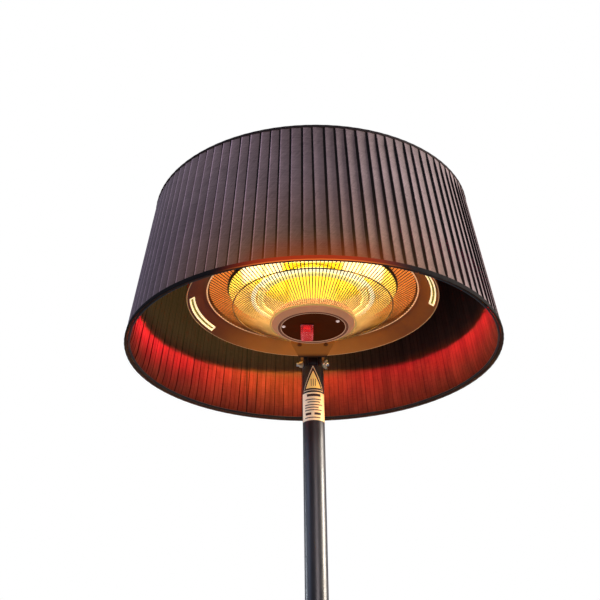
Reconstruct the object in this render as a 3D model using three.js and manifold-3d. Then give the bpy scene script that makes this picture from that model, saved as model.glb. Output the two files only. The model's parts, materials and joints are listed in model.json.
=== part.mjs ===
// Free-standing electric patio heater with a pleated drum shade, in millimetres, +Z up.
// The origin is the centre of the base's underside, on the pole's axis. -Y is the front.
// The heater head hangs under the shade in front of the pole, and tilts on a clamped knuckle.
import * as THREE from 'three';
import { mergeVertices } from 'three/addons/utils/BufferGeometryUtils.js';
import Module from 'manifold-3d';

const wasm = await Module();
wasm.setup();

// ---- driving dimensions -------------------------------------------------------------------
const GAP = 0.3;                  // clearance between touching pieces
const WIDE = 36;                  // facets round the base, the hood and the shade
const MEDIUM = 20;                // facets round the tubes and other middling pieces
const SMALL = 10;                 // facets round bolts, screws and bores

const BASE_R = 250;
const BASE_MAT_R = 246;
const BASE_MAT_THICK = 3;
const BASE_PLATE_THICK = 2;
const BALLAST_R = 230;
const BALLAST_BORE_R = 30;
const BALLAST_THICK = 34;
const BASE_COVER_WALL = 1.5;
const BASE_COVER_TOP = 52;        // height of the cover's flat crown
const BASE_BOLT_CIRCLE_R = 42;
const BASE_BOLT_R = 4;
const BASE_BOLTS = 3;

const SOCKET_FLANGE_R = 56;
const SOCKET_FLANGE_THICK = 5;
const SOCKET_WALL = 3;
const SOCKET_TOP = 130;
const SOCKET_SCREW_Z = 116;
const COLLAR_TOP = 100;

const POLE_R = 18;
const POLE_WALL = 1.5;
const POLE_BOTTOM = 60;
const POLE_JOINTS = [640, 1240];  // heights where the three tubes meet
const COUPLER_R = POLE_R - POLE_WALL - GAP;
const COUPLER_WALL = 2.5;
const COUPLER_LENGTH = 150;
const JOINT_SCREW_DROP = 45;      // each joint screw's distance below its joint
const GLAND_Z = 165;

const RIM_Z = 1850;               // the shade's bottom rim
const HEAD_Y = -85;               // the head's axis, in front of the pole's

const POLE_TOP = RIM_Z + 11;
const PIVOT_Z = RIM_Z + 20;       // the tilt knuckle's axis
const EAR_R = 13;
const EARS_HALF = 15.5;           // from the middle to either ear's outer face
const SLOT_WIDTH = 16;            // between the knuckle's two ears
const PIVOT_BOLT_R = 3;
const PIVOT_BOLT_HALF = 27.5;
const WING_NUT_INNER = EARS_HALF + 0.7;  // the wing nuts' clamping faces, from the middle
const WING_REACH = 10;
const WING_TILT = 65;             // degrees the wings are turned from upright, at rest

// The heights below are measured from the shade's bottom rim, in the head's own frame.
const SHADE_R = 298.6;
const SHADE_TOP_R = 262.6;
const SHADE_HEIGHT = 252;
const SHADE_THICK = 3;
const HEM_THICK = 1.2;
const HEM_HEIGHT = 8;
const TOP_HEM_HEIGHT = 5;

const LIP_R = 205.7;              // the hood's lowest edge
const LIP_Z = 90.5;
const THROAT_R = 176.2;           // where the hood's skirt meets the guard
const THROAT_Z = 108.3;
const HOOD_TOP = 176;
const HOOD_WALL = 1.4;
const LIGHT_ARCS = [{ side: 'left', middle: 167 }, { side: 'right', middle: -13 }];
const LIGHT_SPAN = 35;            // degrees of each light slot
const LIGHT_INNER_R = 193;
const LIGHT_OUTER_R = 202;

const CUP_R = 67.4;
const CUP_LIP_Z = 53;             // top of the cup's chamfered lip
const CUP_FACE_R = 57.7;
const CUP_FACE_Z = 46.6;
const CUP_TOP = 66;
const CUP_WALL = 2;
const CUP_LEDGE_R = 42;
const FACE_SCREWS = [[-48, -3], [39, -21]];
const FACE_SCREW_R = 1.5;

const SWITCH = { x: -10.2, y: 3.5, halfX: 9.5, halfY: 13.5 };
const ROCKER_PIVOT_Z = 49.5;
const ROCKER_TILT = 9;            // degrees from level, in either switched position

const GUARD_WIRES = 36;
const GUARD_WIRE = 2;
const GUARD_INNER = [69.2, 53.9];
const GUARD_OUTER = [173.6, 107];
const GUARD_HOOP_R = 131;

const DISH_R = 137.4;
const DISH_Z = 115.7;
const DISH_TOP = 141;
const FLANGE_R = 170;
const FLANGE_Z = 112;
const SHEET = 1;                  // thickness of the reflector and the heat shield
const COLUMN_R = 46;
const COLUMN_TOP = 139.6;

const LAMPS = [{ name: 'lamp_inner', radius: 86 }, { name: 'lamp_outer', radius: 98 }];
const LAMP_TUBE_R = 5;
const LAMP_Z = 100;
const LAMP_GAP = 24;              // degrees between a lamp's two ends, at the back
const STEM_R = 5;

// ---- shape helpers ------------------------------------------------------------------------
const radians = THREE.MathUtils.degToRad;

/** Turns a closed profile of [radius, height] points round the Z axis. */
function turned(profile, segments = MEDIUM) {
  const loop = profile.map(([r, z]) => new THREE.Vector2(r, z));
  const onAxis = profile[0][0] === 0 && profile[profile.length - 1][0] === 0;
  if (!onAxis) loop.push(loop[0].clone());
  if (THREE.ShapeUtils.area(loop) < 0) loop.reverse();
  return new THREE.LatheGeometry(loop, segments).rotateX(Math.PI / 2);
}

/** Turns a closed profile of [radius, height] points through part of a circle, with flat ends. */
function turnedArc(profile, startDegrees, spanDegrees, steps) {
  const loop = profile.map(([r, z]) => new THREE.Vector2(r, z));
  if (THREE.ShapeUtils.area(loop) < 0) loop.reverse();
  const count = loop.length;
  const positions = [];
  const index = [];
  for (let i = 0; i <= steps; i++) {
    const angle = radians(startDegrees + (spanDegrees * i) / steps);
    for (const p of loop) positions.push(p.x * Math.cos(angle), p.x * Math.sin(angle), p.y);
  }
  for (let i = 0; i < steps; i++) {
    for (let j = 0; j < count; j++) {
      const a = i * count + j;
      const b = i * count + ((j + 1) % count);
      index.push(a, b + count, b, a, a + count, b + count);
    }
  }
  for (const [a, b, c] of THREE.ShapeUtils.triangulateShape(loop, [])) {
    index.push(a, b, c, steps * count + a, steps * count + c, steps * count + b);
  }
  const geometry = new THREE.BufferGeometry();
  geometry.setAttribute('position', new THREE.Float32BufferAttribute(positions, 3));
  geometry.setIndex(index);
  return geometry;
}

const sectionCircle = (r, z, radius, sides) => Array.from({ length: sides }, (_, i) => {
  const angle = (2 * Math.PI * (i + 0.5)) / sides;
  return [r + radius * Math.cos(angle), z + radius * Math.sin(angle)];
});

/** A round bar between two heights. */
function bar(r, z0, z1, segments = SMALL) {
  return turned([[0, z0], [r, z0], [r, z1], [0, z1]], segments);
}

/** A straight tube between two heights. */
function tube(outer, inner, z0, z1, segments = MEDIUM) {
  return turned([[inner, z0], [outer, z0], [outer, z1], [inner, z1]], segments);
}

const alongX = (geometry) => geometry.rotateY(Math.PI / 2);
const alongY = (geometry) => geometry.rotateX(-Math.PI / 2);

function block(x0, x1, y0, y1, z0, z1) {
  return new THREE.BoxGeometry(x1 - x0, y1 - y0, z1 - z0)
    .translate((x0 + x1) / 2, (y0 + y1) / 2, (z0 + z1) / 2);
}

/** An outline in the XY plane, with optional round holes [x, y, r], raised from z0 to z1. */
function plate(outline, z0, z1, holes = []) {
  const shape = outline instanceof THREE.Shape
    ? outline : new THREE.Shape(outline.map(([x, y]) => new THREE.Vector2(x, y)));
  for (const [x, y, r] of holes) {
    shape.holes.push(new THREE.Path().absarc(x, y, r, 0, 2 * Math.PI, true));
  }
  const depth = z1 - z0;
  return new THREE.ExtrudeGeometry(shape, { depth, bevelEnabled: false, curveSegments: 6 })
    .translate(0, 0, z0);
}

/** A side view of [y, z] points, given a width along X. */
function sideCut(outline, x0, x1) {
  return plate(outline, x0, x1).rotateZ(Math.PI / 2).rotateY(Math.PI / 2);
}

function circleOutline(r, segments) {
  return Array.from({ length: segments }, (_, i) => {
    const angle = (2 * Math.PI * i) / segments;
    return [r * Math.cos(angle), r * Math.sin(angle)];
  });
}

const hexagon = (acrossFlats) => circleOutline(acrossFlats / Math.sqrt(3), 6);

const ringOfPlaces = (count, r, firstDegrees = 90) => Array.from({ length: count }, (_, i) => {
  const angle = radians(firstDegrees + (360 * i) / count);
  return [r * Math.cos(angle), r * Math.sin(angle)];
});

// ---- joining and cutting ------------------------------------------------------------------
function toSolid(geometry) {
  const bare = new THREE.BufferGeometry();
  bare.setAttribute('position', geometry.getAttribute('position').clone());
  if (geometry.index) bare.setIndex(geometry.index.clone());
  const merged = mergeVertices(bare, 1e-4);
  return new wasm.Manifold(new wasm.Mesh({
    numProp: 3,
    vertProperties: new Float32Array(merged.getAttribute('position').array),
    triVerts: new Uint32Array(merged.index.array),
  }));
}

function toGeometry(solid) {
  const mesh = solid.getMesh();
  const geometry = new THREE.BufferGeometry();
  geometry.setAttribute('position', new THREE.BufferAttribute(mesh.vertProperties, 3));
  geometry.setIndex(new THREE.BufferAttribute(mesh.triVerts, 1));
  return geometry;
}

const cut = (geometry, ...tools) => toGeometry(
  tools.reduce((solid, tool) => solid.subtract(toSolid(tool)), toSolid(geometry)));
const join = (geometry, ...others) => toGeometry(
  others.reduce((solid, other) => solid.add(toSolid(other)), toSolid(geometry)));
const overlap = (a, b) => toGeometry(toSolid(a).intersect(toSolid(b)));

// ---- materials ----------------------------------------------------------------------------
const finish = (color, roughness, metalness, extra = {}) =>
  new THREE.MeshStandardMaterial({ color, roughness, metalness, ...extra });
const glow = (color, emissive) => finish(color, 0.3, 0, { emissive, emissiveIntensity: 2 });

const LOOKS = {
  blackPaint: () => finish(0x16161a, 0.35, 0.4),
  blackPlastic: () => finish(0x101012, 0.55, 0),
  rubber: () => finish(0x1c1c1c, 0.9, 0),
  concrete: () => finish(0x8f8c86, 0.95, 0),
  bareSteel: () => finish(0xb4b6b8, 0.35, 0.9),
  chrome: () => finish(0xe6e6ea, 0.12, 1),
  galvanised: () => finish(0x9a9ea2, 0.5, 0.8),
  bronzePaint: () => finish(0x7a4a26, 0.4, 0.35),
  polished: () => finish(0xf0d060, 0.1, 1),
  darkFace: () => finish(0x3a1c10, 0.5, 0.1),
  redRocker: () => glow(0xc82a30, 0xa01018),
  clearBoot: () => finish(0xe8d8d8, 0.1, 0, { transparent: true, opacity: 0.35 }),
  lampGlass: () => glow(0xfff0b0, 0xffe080),
  lightLens: () => glow(0xfff4c8, 0xffedb0),
  ceramic: () => finish(0xe8e2d4, 0.6, 0),
  circuitBoard: () => finish(0x2c5a3a, 0.6, 0),
  pleatedFabric: () => finish(0x6e6272, 0.95, 0),
  hemFabric: () => finish(0x2e2a30, 0.9, 0),
};

const heater = new THREE.Group();
const head = new THREE.Group();
head.position.set(0, HEAD_Y, RIM_Z);
heater.add(head);

function add(group, name, geometry, look) {
  const mesh = new THREE.Mesh(geometry, LOOKS[look]());
  mesh.name = name;
  group.add(mesh);
  return mesh;
}

// ---- base ---------------------------------------------------------------------------------
function addBase() {
  const bolts = ringOfPlaces(BASE_BOLTS, BASE_BOLT_CIRCLE_R);
  const boltHoles = (r, z0, z1) => bolts.map(([x, y]) => bar(r, z0, z1).translate(x, y, 0));

  add(heater, 'rubber_mat', bar(BASE_MAT_R, 0, BASE_MAT_THICK, WIDE), 'rubber');

  const plateBottom = BASE_MAT_THICK + GAP;
  const plateTop = plateBottom + BASE_PLATE_THICK;
  add(heater, 'bottom_plate', plate(circleOutline(BASE_R - 3, WIDE), plateBottom, plateTop,
    bolts.map(([x, y]) => [x, y, BASE_BOLT_R + GAP])), 'galvanised');

  const ballastBottom = plateTop + GAP;
  add(heater, 'ballast', plate(circleOutline(BALLAST_R, WIDE), ballastBottom,
    ballastBottom + BALLAST_THICK,
    [[0, 0, BALLAST_BORE_R], ...bolts.map(([x, y]) => [x, y, BASE_BOLT_R + 1.5])]), 'concrete');

  // A pressed steel cover: an upright skirt, a round shoulder and a gently sloped top.
  const wall = BASE_COVER_WALL;
  const shoulder = (r, inset) => [0, 45, 90].map((degrees) => {
    const angle = radians(degrees);
    return [BASE_R - r - inset + r * Math.cos(angle), 34 + r * Math.sin(angle)];
  });
  const crown = [[SOCKET_FLANGE_R + 12, BASE_COVER_TOP], [20, BASE_COVER_TOP]];
  const under = crown.map(([r, z]) => [r, z - wall]).reverse();
  const coverProfile = [[BASE_R, plateBottom], ...shoulder(12, 0), ...crown,
    ...under, ...shoulder(12 - wall, wall).reverse(), [BASE_R - wall, plateBottom]];
  add(heater, 'base_cover', cut(turned(coverProfile, WIDE),
    ...boltHoles(BASE_BOLT_R + 0.5, 40, 60)), 'blackPaint');

  const flangeBottom = BASE_COVER_TOP + GAP;
  const flangeTop = flangeBottom + SOCKET_FLANGE_THICK;
  const socketInner = POLE_R + GAP;
  const socketOuter = socketInner + SOCKET_WALL;
  const socket = turned([[10, flangeBottom], [SOCKET_FLANGE_R, flangeBottom],
    [SOCKET_FLANGE_R, flangeTop], [socketOuter, flangeTop], [socketOuter, SOCKET_TOP],
    [socketInner, SOCKET_TOP], [socketInner, flangeTop], [10, flangeTop]]);
  const screwBore = alongX(bar(4.3, 10, 30)).translate(0, 0, SOCKET_SCREW_Z);
  add(heater, 'pole_socket', cut(socket, ...boltHoles(BASE_BOLT_R + 0.5, 50, 60), screwBore),
    'blackPaint');

  bolts.forEach(([x, y], i) => {
    const headBottom = flangeTop + GAP;
    const bolt = join(bar(BASE_BOLT_R, plateBottom + GAP, headBottom + 1),
      plate(hexagon(13), headBottom, headBottom + 5.3));
    add(heater, `base_bolt_${i + 1}`, bolt, 'bareSteel').position.set(x, y, 0);
  });

  // The clamp screw's tip bears on the pole, and its round head is turned by hand.
  const clamp = join(bar(4, POLE_R + GAP, 32), plate(circleOutline(9, SMALL), 31, 39));
  add(heater, 'socket_screw', alongX(clamp), 'blackPlastic').position.z = SOCKET_SCREW_Z;

  add(heater, 'base_collar', turned([[64, BASE_COVER_TOP + GAP], [66, BASE_COVER_TOP + GAP],
    [58, 66], [36, 78], [24.5, COLLAR_TOP], [22.3, COLLAR_TOP], [34.2, 76.6], [56, 64.8]]),
  'blackPlastic');
}

// ---- pole ---------------------------------------------------------------------------------
function addPole() {
  const inner = POLE_R - POLE_WALL;
  const screwHoles = (z) => alongY(bar(2.8, 8, 25)).translate(0, 0, z);
  const [lowJoint, highJoint] = POLE_JOINTS;
  const glandHole = alongY(bar(5.3, 8, 25)).translate(0, 0, GLAND_Z);

  const lower = tube(POLE_R, inner, POLE_BOTTOM, lowJoint);
  const middle = tube(POLE_R, inner, lowJoint + GAP, highJoint);
  const upper = tube(POLE_R, inner, highJoint + GAP, POLE_TOP);
  add(heater, 'lower_pole', cut(lower, glandHole, screwHoles(lowJoint - JOINT_SCREW_DROP)),
    'blackPaint');
  add(heater, 'middle_pole', cut(middle, screwHoles(highJoint - JOINT_SCREW_DROP)), 'blackPaint');
  add(heater, 'upper_pole', upper, 'blackPaint');

  ['lower', 'upper'].forEach((which, i) => {
    const joint = POLE_JOINTS[i];
    const screwZ = joint - JOINT_SCREW_DROP;
    const sleeve = tube(COUPLER_R, COUPLER_R - COUPLER_WALL,
      joint - COUPLER_LENGTH / 2, joint + COUPLER_LENGTH / 2);
    add(heater, `${which}_coupler`, cut(sleeve, screwHoles(screwZ)), 'galvanised');
    const screw = turned([[0, 11], [2.5, 11], [2.5, POLE_R + GAP], [5, POLE_R + GAP],
      [4.2, POLE_R + 2.5], [0, POLE_R + 3.2]], SMALL);
    add(heater, `${which}_joint_screw`, alongY(screw), 'bareSteel').position.z = screwZ;
  });

  // The gland is the mains cord's way into the pole.
  const gland = turned([[3.4, 12], [5, 12], [5, POLE_R + GAP], [9, POLE_R + GAP],
    [9, POLE_R + 6], [7.5, POLE_R + 12], [5.5, POLE_R + 16], [3.4, POLE_R + 16]], SMALL);
  add(heater, 'cable_gland', alongY(gland), 'blackPlastic').position.z = GLAND_Z;

  add(heater, 'mast_lead', bar(3.2, GLAND_Z + 12, POLE_TOP - 50), 'rubber');
}

// ---- tilt knuckle -------------------------------------------------------------------------
/** Points on an arc about the pivot, in [y, z], angles in degrees from +Y towards +Z. */
function pivotArc(r, from, to, steps) {
  return Array.from({ length: steps + 1 }, (_, i) => {
    const angle = radians(from + ((to - from) * i) / steps);
    return [r * Math.cos(angle), PIVOT_Z + r * Math.sin(angle)];
  });
}

function addKnuckle() {
  const shoulderTop = POLE_TOP + 2.6;
  const spigotBottom = POLE_TOP - 40;
  const plug = turned([[0, spigotBottom], [COUPLER_R, spigotBottom], [COUPLER_R, POLE_TOP + GAP],
    [POLE_R, POLE_TOP + GAP], [POLE_R, shoulderTop], [0, shoulderTop]]);
  const earSide = [[EAR_R, shoulderTop - 1], ...pivotArc(EAR_R, 0, 180, 12),
    [-EAR_R, shoulderTop - 1]];
  const ears = overlap(sideCut(earSide, -EARS_HALF, EARS_HALF),
    bar(POLE_R, shoulderTop - 2, PIVOT_Z + 20, MEDIUM));
  const half = SLOT_WIDTH / 2;
  const slot = block(-half, half, -25, 25, PIVOT_Z - EAR_R - 0.5, PIVOT_Z + 25);
  const leadBore = bar(6, spigotBottom - 5, PIVOT_Z);
  const pivotBore = alongX(bar(PIVOT_BOLT_R + GAP, -30, 30)).translate(0, 0, PIVOT_Z);
  add(heater, 'pole_head', cut(join(plug, ears), slot, leadBore, pivotBore), 'blackPlastic');

  const bolt = alongX(bar(PIVOT_BOLT_R, -PIVOT_BOLT_HALF, PIVOT_BOLT_HALF));
  add(heater, 'pivot_bolt', bolt, 'bareSteel').position.z = PIVOT_Z;

  for (const side of ['left', 'right']) {
    const sign = side === 'left' ? -1 : 1;
    add(heater, `wing_nut_${side}`, wingNut(sign), 'chrome').position.z = PIVOT_Z;
  }
}

/** A wing nut on the X axis, its clamping face at WING_NUT_INNER, on the side given by sign. */
function wingNut(sign) {
  const face = WING_NUT_INNER;
  const hub = turned([[0, face], [5.8, face], [4.8, face + 6.5], [0, face + 6.5]], SMALL);
  const wing = new THREE.Shape();
  wing.moveTo(2, face + 2.2);
  wing.lineTo(6, face + 2.2);
  wing.lineTo(WING_REACH, face + 6);
  wing.quadraticCurveTo(WING_REACH + 0.2, face + 9.2, WING_REACH - 3, face + 9.2);
  wing.lineTo(2, face + 5.5);
  const ear = plate(wing, -1.3, 1.3).rotateX(Math.PI / 2);
  const bore = bar(PIVOT_BOLT_R + GAP, face - 2, face + 20);
  const nut = cut(join(hub, ear, ear.clone().rotateZ(Math.PI)), bore);
  return nut.rotateZ(radians(WING_TILT)).rotateY((sign * Math.PI) / 2);
}

/** The arm between the knuckle and the control cup: a tongue on the pivot, widening forwards. */
function addNeckBracket() {
  const toPole = (geometry) => geometry.translate(0, -HEAD_Y, -RIM_Z);
  const inner = EAR_R + 1;
  const side = [[-27, RIM_Z + 46.4], [-27, RIM_Z + 52], [-13.5, RIM_Z + 51.4],
    [13, RIM_Z + 64.2], [14.5, RIM_Z + 62.5], [14.5, PIVOT_Z + 8],
    ...pivotArc(inner, 35, 145, 10)];
  const plan = [[-19, 16], [-21, -9], [-37, -28], [37, -28], [21, -9], [19, 16]].reverse();
  const wedge = overlap(sideCut(side, -40, 40), plate(plan, RIM_Z, RIM_Z + 90));
  const tongueHalf = SLOT_WIDTH / 2 - GAP;
  const round = alongX(bar(EAR_R - 0.5, -tongueHalf, tongueHalf, MEDIUM)).translate(0, 0, PIVOT_Z);
  const web = block(-tongueHalf, tongueHalf, -8, 8, PIVOT_Z, PIVOT_Z + 18);
  const pivotBore = alongX(bar(PIVOT_BOLT_R + GAP, -30, 30)).translate(0, 0, PIVOT_Z);
  const arm = toPole(join(wedge, round, web));

  // The arm's end is shaped to the cup's chamfered lip, and screwed up into it.
  const cupSpace = turned([[0, 40], [CUP_FACE_R + 0.8, 40], [CUP_FACE_R + 0.8, CUP_FACE_Z + 0.2],
    [CUP_R + 0.5, CUP_LIP_Z - 0.2], [CUP_R + 0.5, 80], [0, 80]], WIDE);
  const screwPlaces = [[-22, 58], [22, 58]];
  const tools = screwPlaces.flatMap(([x, y]) => [
    bar(2.3, 30, 60).translate(x, y, 0), bar(4.2, 30, 45.6).translate(x, y, 0)]);
  add(head, 'neck_bracket', cut(arm, toPole(pivotBore), cupSpace, ...tools), 'bronzePaint');

  screwPlaces.forEach(([x, y], i) => {
    const screw = turned([[0, 42.4], [2.8, 42.4], [3.8, 43.2], [3.8, 45.3], [2, 45.3],
      [2, 57], [0, 57]], SMALL);
    add(head, `neck_screw_${i + 1}`, screw, 'bareSteel').position.set(x, y, 0);
  });
  return screwPlaces;
}

// ---- control cup --------------------------------------------------------------------------
function addCup(neckScrews) {
  const ledgeTop = CUP_LIP_Z;
  const ledgeBottom = ledgeTop - CUP_WALL;
  const cup = turned([[CUP_FACE_R, CUP_FACE_Z], [CUP_R, CUP_LIP_Z], [CUP_R, CUP_TOP],
    [CUP_R - CUP_WALL, CUP_TOP], [CUP_R - CUP_WALL, ledgeTop], [CUP_LEDGE_R, ledgeTop],
    [CUP_LEDGE_R, ledgeBottom], [CUP_FACE_R, ledgeBottom]], WIDE);
  const holes = [
    ...neckScrews.map(([x, y]) => bar(2.3, 40, 60).translate(x, y, 0)),
    ...FACE_SCREWS.map(([x, y]) => bar(FACE_SCREW_R + GAP, 40, 60).translate(x, y, 0))];
  const leadHole = alongY(bar(3.6, 60, 70)).translate(0, 0, 59.5);
  add(head, 'housing_cup', cut(cup, ...holes, leadHole), 'bronzePaint');

  const plateTop = ledgeBottom - GAP;
  const plateBottom = plateTop - 1.6;
  const opening = block(SWITCH.x - SWITCH.halfX - GAP, SWITCH.x + SWITCH.halfX + GAP,
    SWITCH.y - SWITCH.halfY - GAP, SWITCH.y + SWITCH.halfY + GAP, 40, 60);
  const facePlate = plate(circleOutline(CUP_FACE_R - 0.6, WIDE), plateBottom, plateTop,
    FACE_SCREWS.map(([x, y]) => [x, y, FACE_SCREW_R + GAP]));
  add(head, 'face_plate', cut(facePlate, opening), 'darkFace');

  FACE_SCREWS.forEach(([x, y], i) => {
    const top = plateBottom - GAP;
    const screw = turned([[0, top - 2.2], [2.2, top - 1.8], [3.2, top - 0.6], [3.2, top],
      [FACE_SCREW_R, top], [FACE_SCREW_R, 57], [0, 57]], SMALL);
    add(head, `face_screw_${i + 1}`, screw, 'chrome').position.set(x, y, 0);
  });
  addSwitch(plateBottom);
}

function addSwitch(plateBottom) {
  const group = new THREE.Group();
  group.position.set(SWITCH.x, SWITCH.y, 0);
  head.add(group);
  const { halfX, halfY } = SWITCH;
  const bezelTop = plateBottom - GAP;
  const bezelBottom = bezelTop - 2;
  const body = join(block(-halfX, halfX, -halfY, halfY, bezelTop - 1, 72),
    block(-halfX - 1, halfX + 1, -halfY - 2.3, halfY + 2.3, bezelBottom, bezelTop));
  const pocket = block(-7, 7, -12.8, 12.8, bezelBottom - 5, ROCKER_PIVOT_Z + 6);
  add(group, 'switch_body', cut(body, pocket), 'blackPlastic');

  // The rocker is dished, so that either half stands proud when the other is pressed.
  const dished = [[-10.8, -5.6], [-5, -4.4], [0, -4], [5, -4.4], [10.8, -5.6], [10.8, 0],
    [4, 4], [-4, 4], [-10.8, 0]];
  const rocker = sideCut(dished, -6.6, 6.6).rotateX(radians(ROCKER_TILT));
  add(group, 'rocker', rocker, 'redRocker').position.z = ROCKER_PIVOT_Z;

  const bootTop = bezelBottom - GAP;
  const bootBottom = 31;
  const boot = cut(block(-10.5, 10.5, -16, 16, bootBottom, bootTop),
    block(-9.5, 9.5, -15, 15, bootBottom + 1, bootTop + 5));
  add(group, 'switch_boot', boot, 'clearBoot');
}

// ---- guard, reflector and lamps -----------------------------------------------------------
function addGuard() {
  const [r0, z0] = GUARD_INNER;
  const [r1, z1] = GUARD_OUTER;
  const slope = (z1 - z0) / (r1 - r0);
  const half = GUARD_WIRE / 2;
  const wire = sideCut([[r0, z0 - half], [r1, z1 - half], [r1, z1 + half], [r0, z0 + half]],
    -half, half);
  const hoopZ = z0 + (GUARD_HOOP_R - r0) * slope - GUARD_WIRE;
  const ring = (r, z, size) => turned([[r - size, z - size], [r + size, z - size],
    [r + size, z + size], [r - size, z + size]], GUARD_WIRES);
  const wires = Array.from({ length: GUARD_WIRES }, (_, i) =>
    wire.clone().rotateZ((2 * Math.PI * (i + 0.5)) / GUARD_WIRES));
  add(head, 'guard', join(ring(r0, z0, 1.2), ring(GUARD_HOOP_R, hoopZ, 1.1),
    ring(r1, z1, 1.6), ...wires), 'bronzePaint');
}

/** A sheet of even thickness along a path of [radius, height] points, thickened upwards. */
const sheetProfile = (path, thickness) =>
  [...path, ...path.map(([r, z]) => [r, z + thickness]).reverse()];

function addReflector() {
  const holeR = COLUMN_R - 6;
  const dish = [[FLANGE_R, FLANGE_Z], [DISH_R, DISH_Z], [122, 130], [96, 138.6],
    [68, DISH_TOP], [holeR, DISH_TOP]];
  add(head, 'reflector', turned(sheetProfile(dish, SHEET), WIDE), 'polished');

  const shield = [[165, 126], [118, 150], [60, 156], [14, 156]];
  add(head, 'heat_shield', turned(sheetProfile(shield, SHEET)), 'galvanised');

  add(head, 'centre_column', turned([[CUP_R - 1, CUP_TOP + GAP], [CUP_R - 1, CUP_TOP + 1.5],
    [COLUMN_R, CUP_TOP + 1.5], [COLUMN_R, COLUMN_TOP], [COLUMN_R - 7, COLUMN_TOP],
    [COLUMN_R - 7, COLUMN_TOP - 1.2], [COLUMN_R - 1.2, COLUMN_TOP - 1.2],
    [COLUMN_R - 1.2, CUP_TOP + GAP]]), 'polished');

  for (const { name, radius } of LAMPS) {
    const section = sectionCircle(radius, LAMP_Z, LAMP_TUBE_R, 6);
    add(head, name, turnedArc(section, 90 + LAMP_GAP / 2, 360 - LAMP_GAP, 24), 'lampGlass');
  }

  // The ceramic holder takes both ends of both lamps; its foot reaches up to the reflector.
  const halfGap = radians(LAMP_GAP / 2);
  const halfWidth = LAMPS[0].radius * Math.sin(halfGap) - LAMP_TUBE_R * 0.3;
  add(head, 'lamp_holder', join(block(-halfWidth, halfWidth, 78, 105, 92, 108),
    block(-9, 9, 80, 96, 107, 137)), 'ceramic');

  const between = (LAMPS[0].radius + LAMPS[1].radius) / 2;
  [['left', 210], ['right', 330]].forEach(([side, degrees]) => {
    const clip = join(block(between - 0.6, between + 0.6, -5, 5, 93, 138),
      block(between - 9, between + 9, -5, 5, 93, 94.4));
    const mesh = add(head, `lamp_clip_${side}`, clip, 'bareSteel');
    mesh.rotation.z = radians(degrees);
  });
}

// ---- hood and its two light arcs ----------------------------------------------------------
function hoodPath() {
  return [[THROAT_R, THROAT_Z], [LIP_R, LIP_Z], [LIP_R + 1.3, LIP_Z + 1.5], [LIP_R + 1.3, 101],
    [LIP_R - 6, 122], [165, 150], [95, 170], [STEM_R + 1, HOOD_TOP]];
}

function addHood() {
  const wall = HOOD_WALL;
  const inside = [[STEM_R + 1, HOOD_TOP - wall], [94.7, 170 - wall], [164.2, 150 - wall],
    [LIP_R - 7.3, 121.4], [LIP_R - 0.1, 100.8], [LIP_R - 0.4, LIP_Z + 2.2],
    [THROAT_R, THROAT_Z + wall * 1.3]];
  const slope = (LIP_Z - THROAT_Z) / (LIP_R - THROAT_R);
  const skirtZ = (r) => THROAT_Z + (r - THROAT_R) * slope;
  const band = (r0, r1, low, high) => [[r0, skirtZ(r0) + low], [r1, skirtZ(r1) + low],
    [r1, skirtZ(r1) + high], [r0, skirtZ(r0) + high]];
  const start = (middle) => middle - LIGHT_SPAN / 2;

  const slots = LIGHT_ARCS.map(({ middle }) =>
    turnedArc(band(LIGHT_INNER_R, LIGHT_OUTER_R, -6, 8), start(middle), LIGHT_SPAN, 6));
  add(head, 'hood', cut(turned([...hoodPath(), ...inside], WIDE), ...slots), 'bronzePaint');

  for (const { side, middle } of LIGHT_ARCS) {
    const ends = 0.3;                     // degrees of clearance at each end of a lens
    const lens = band(LIGHT_INNER_R + 0.8, LIGHT_OUTER_R - 0.8, -0.6, 2);
    add(head, `light_lens_${side}`,
      turnedArc(lens, start(middle) + ends, LIGHT_SPAN - 2 * ends, 6), 'lightLens');
    const board = band(LIGHT_INNER_R - 1, LIGHT_OUTER_R - 1.5, 3.6, 5);
    add(head, `light_board_${side}`, turnedArc(board, start(middle), LIGHT_SPAN, 6),
      'circuitBoard');
  }
}

// ---- wiring inside the head ---------------------------------------------------------------
function addWiring() {
  add(head, 'terminal_block', block(-16, 16, -9, 9, 118, 132), 'ceramic');
  add(head, 'light_driver', block(12, 34, -18, 18, 74, 106), 'blackPlastic');
  const route = new THREE.CatmullRomCurve3([[0, 66.5, 59.5], [0, 52, 59.5], [0, 34, 64],
    [0, 26, 84], [0, 22, 108], [0, 13, 117.5]].map((p) => new THREE.Vector3(...p)));
  const section = new THREE.Shape(circleOutline(3, 8).map(([x, y]) => new THREE.Vector2(x, y)));
  const lead = new THREE.ExtrudeGeometry(section,
    { steps: 12, extrudePath: route, bevelEnabled: false, curveSegments: 1 });
  add(head, 'head_lead', lead, 'rubber');
}

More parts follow.
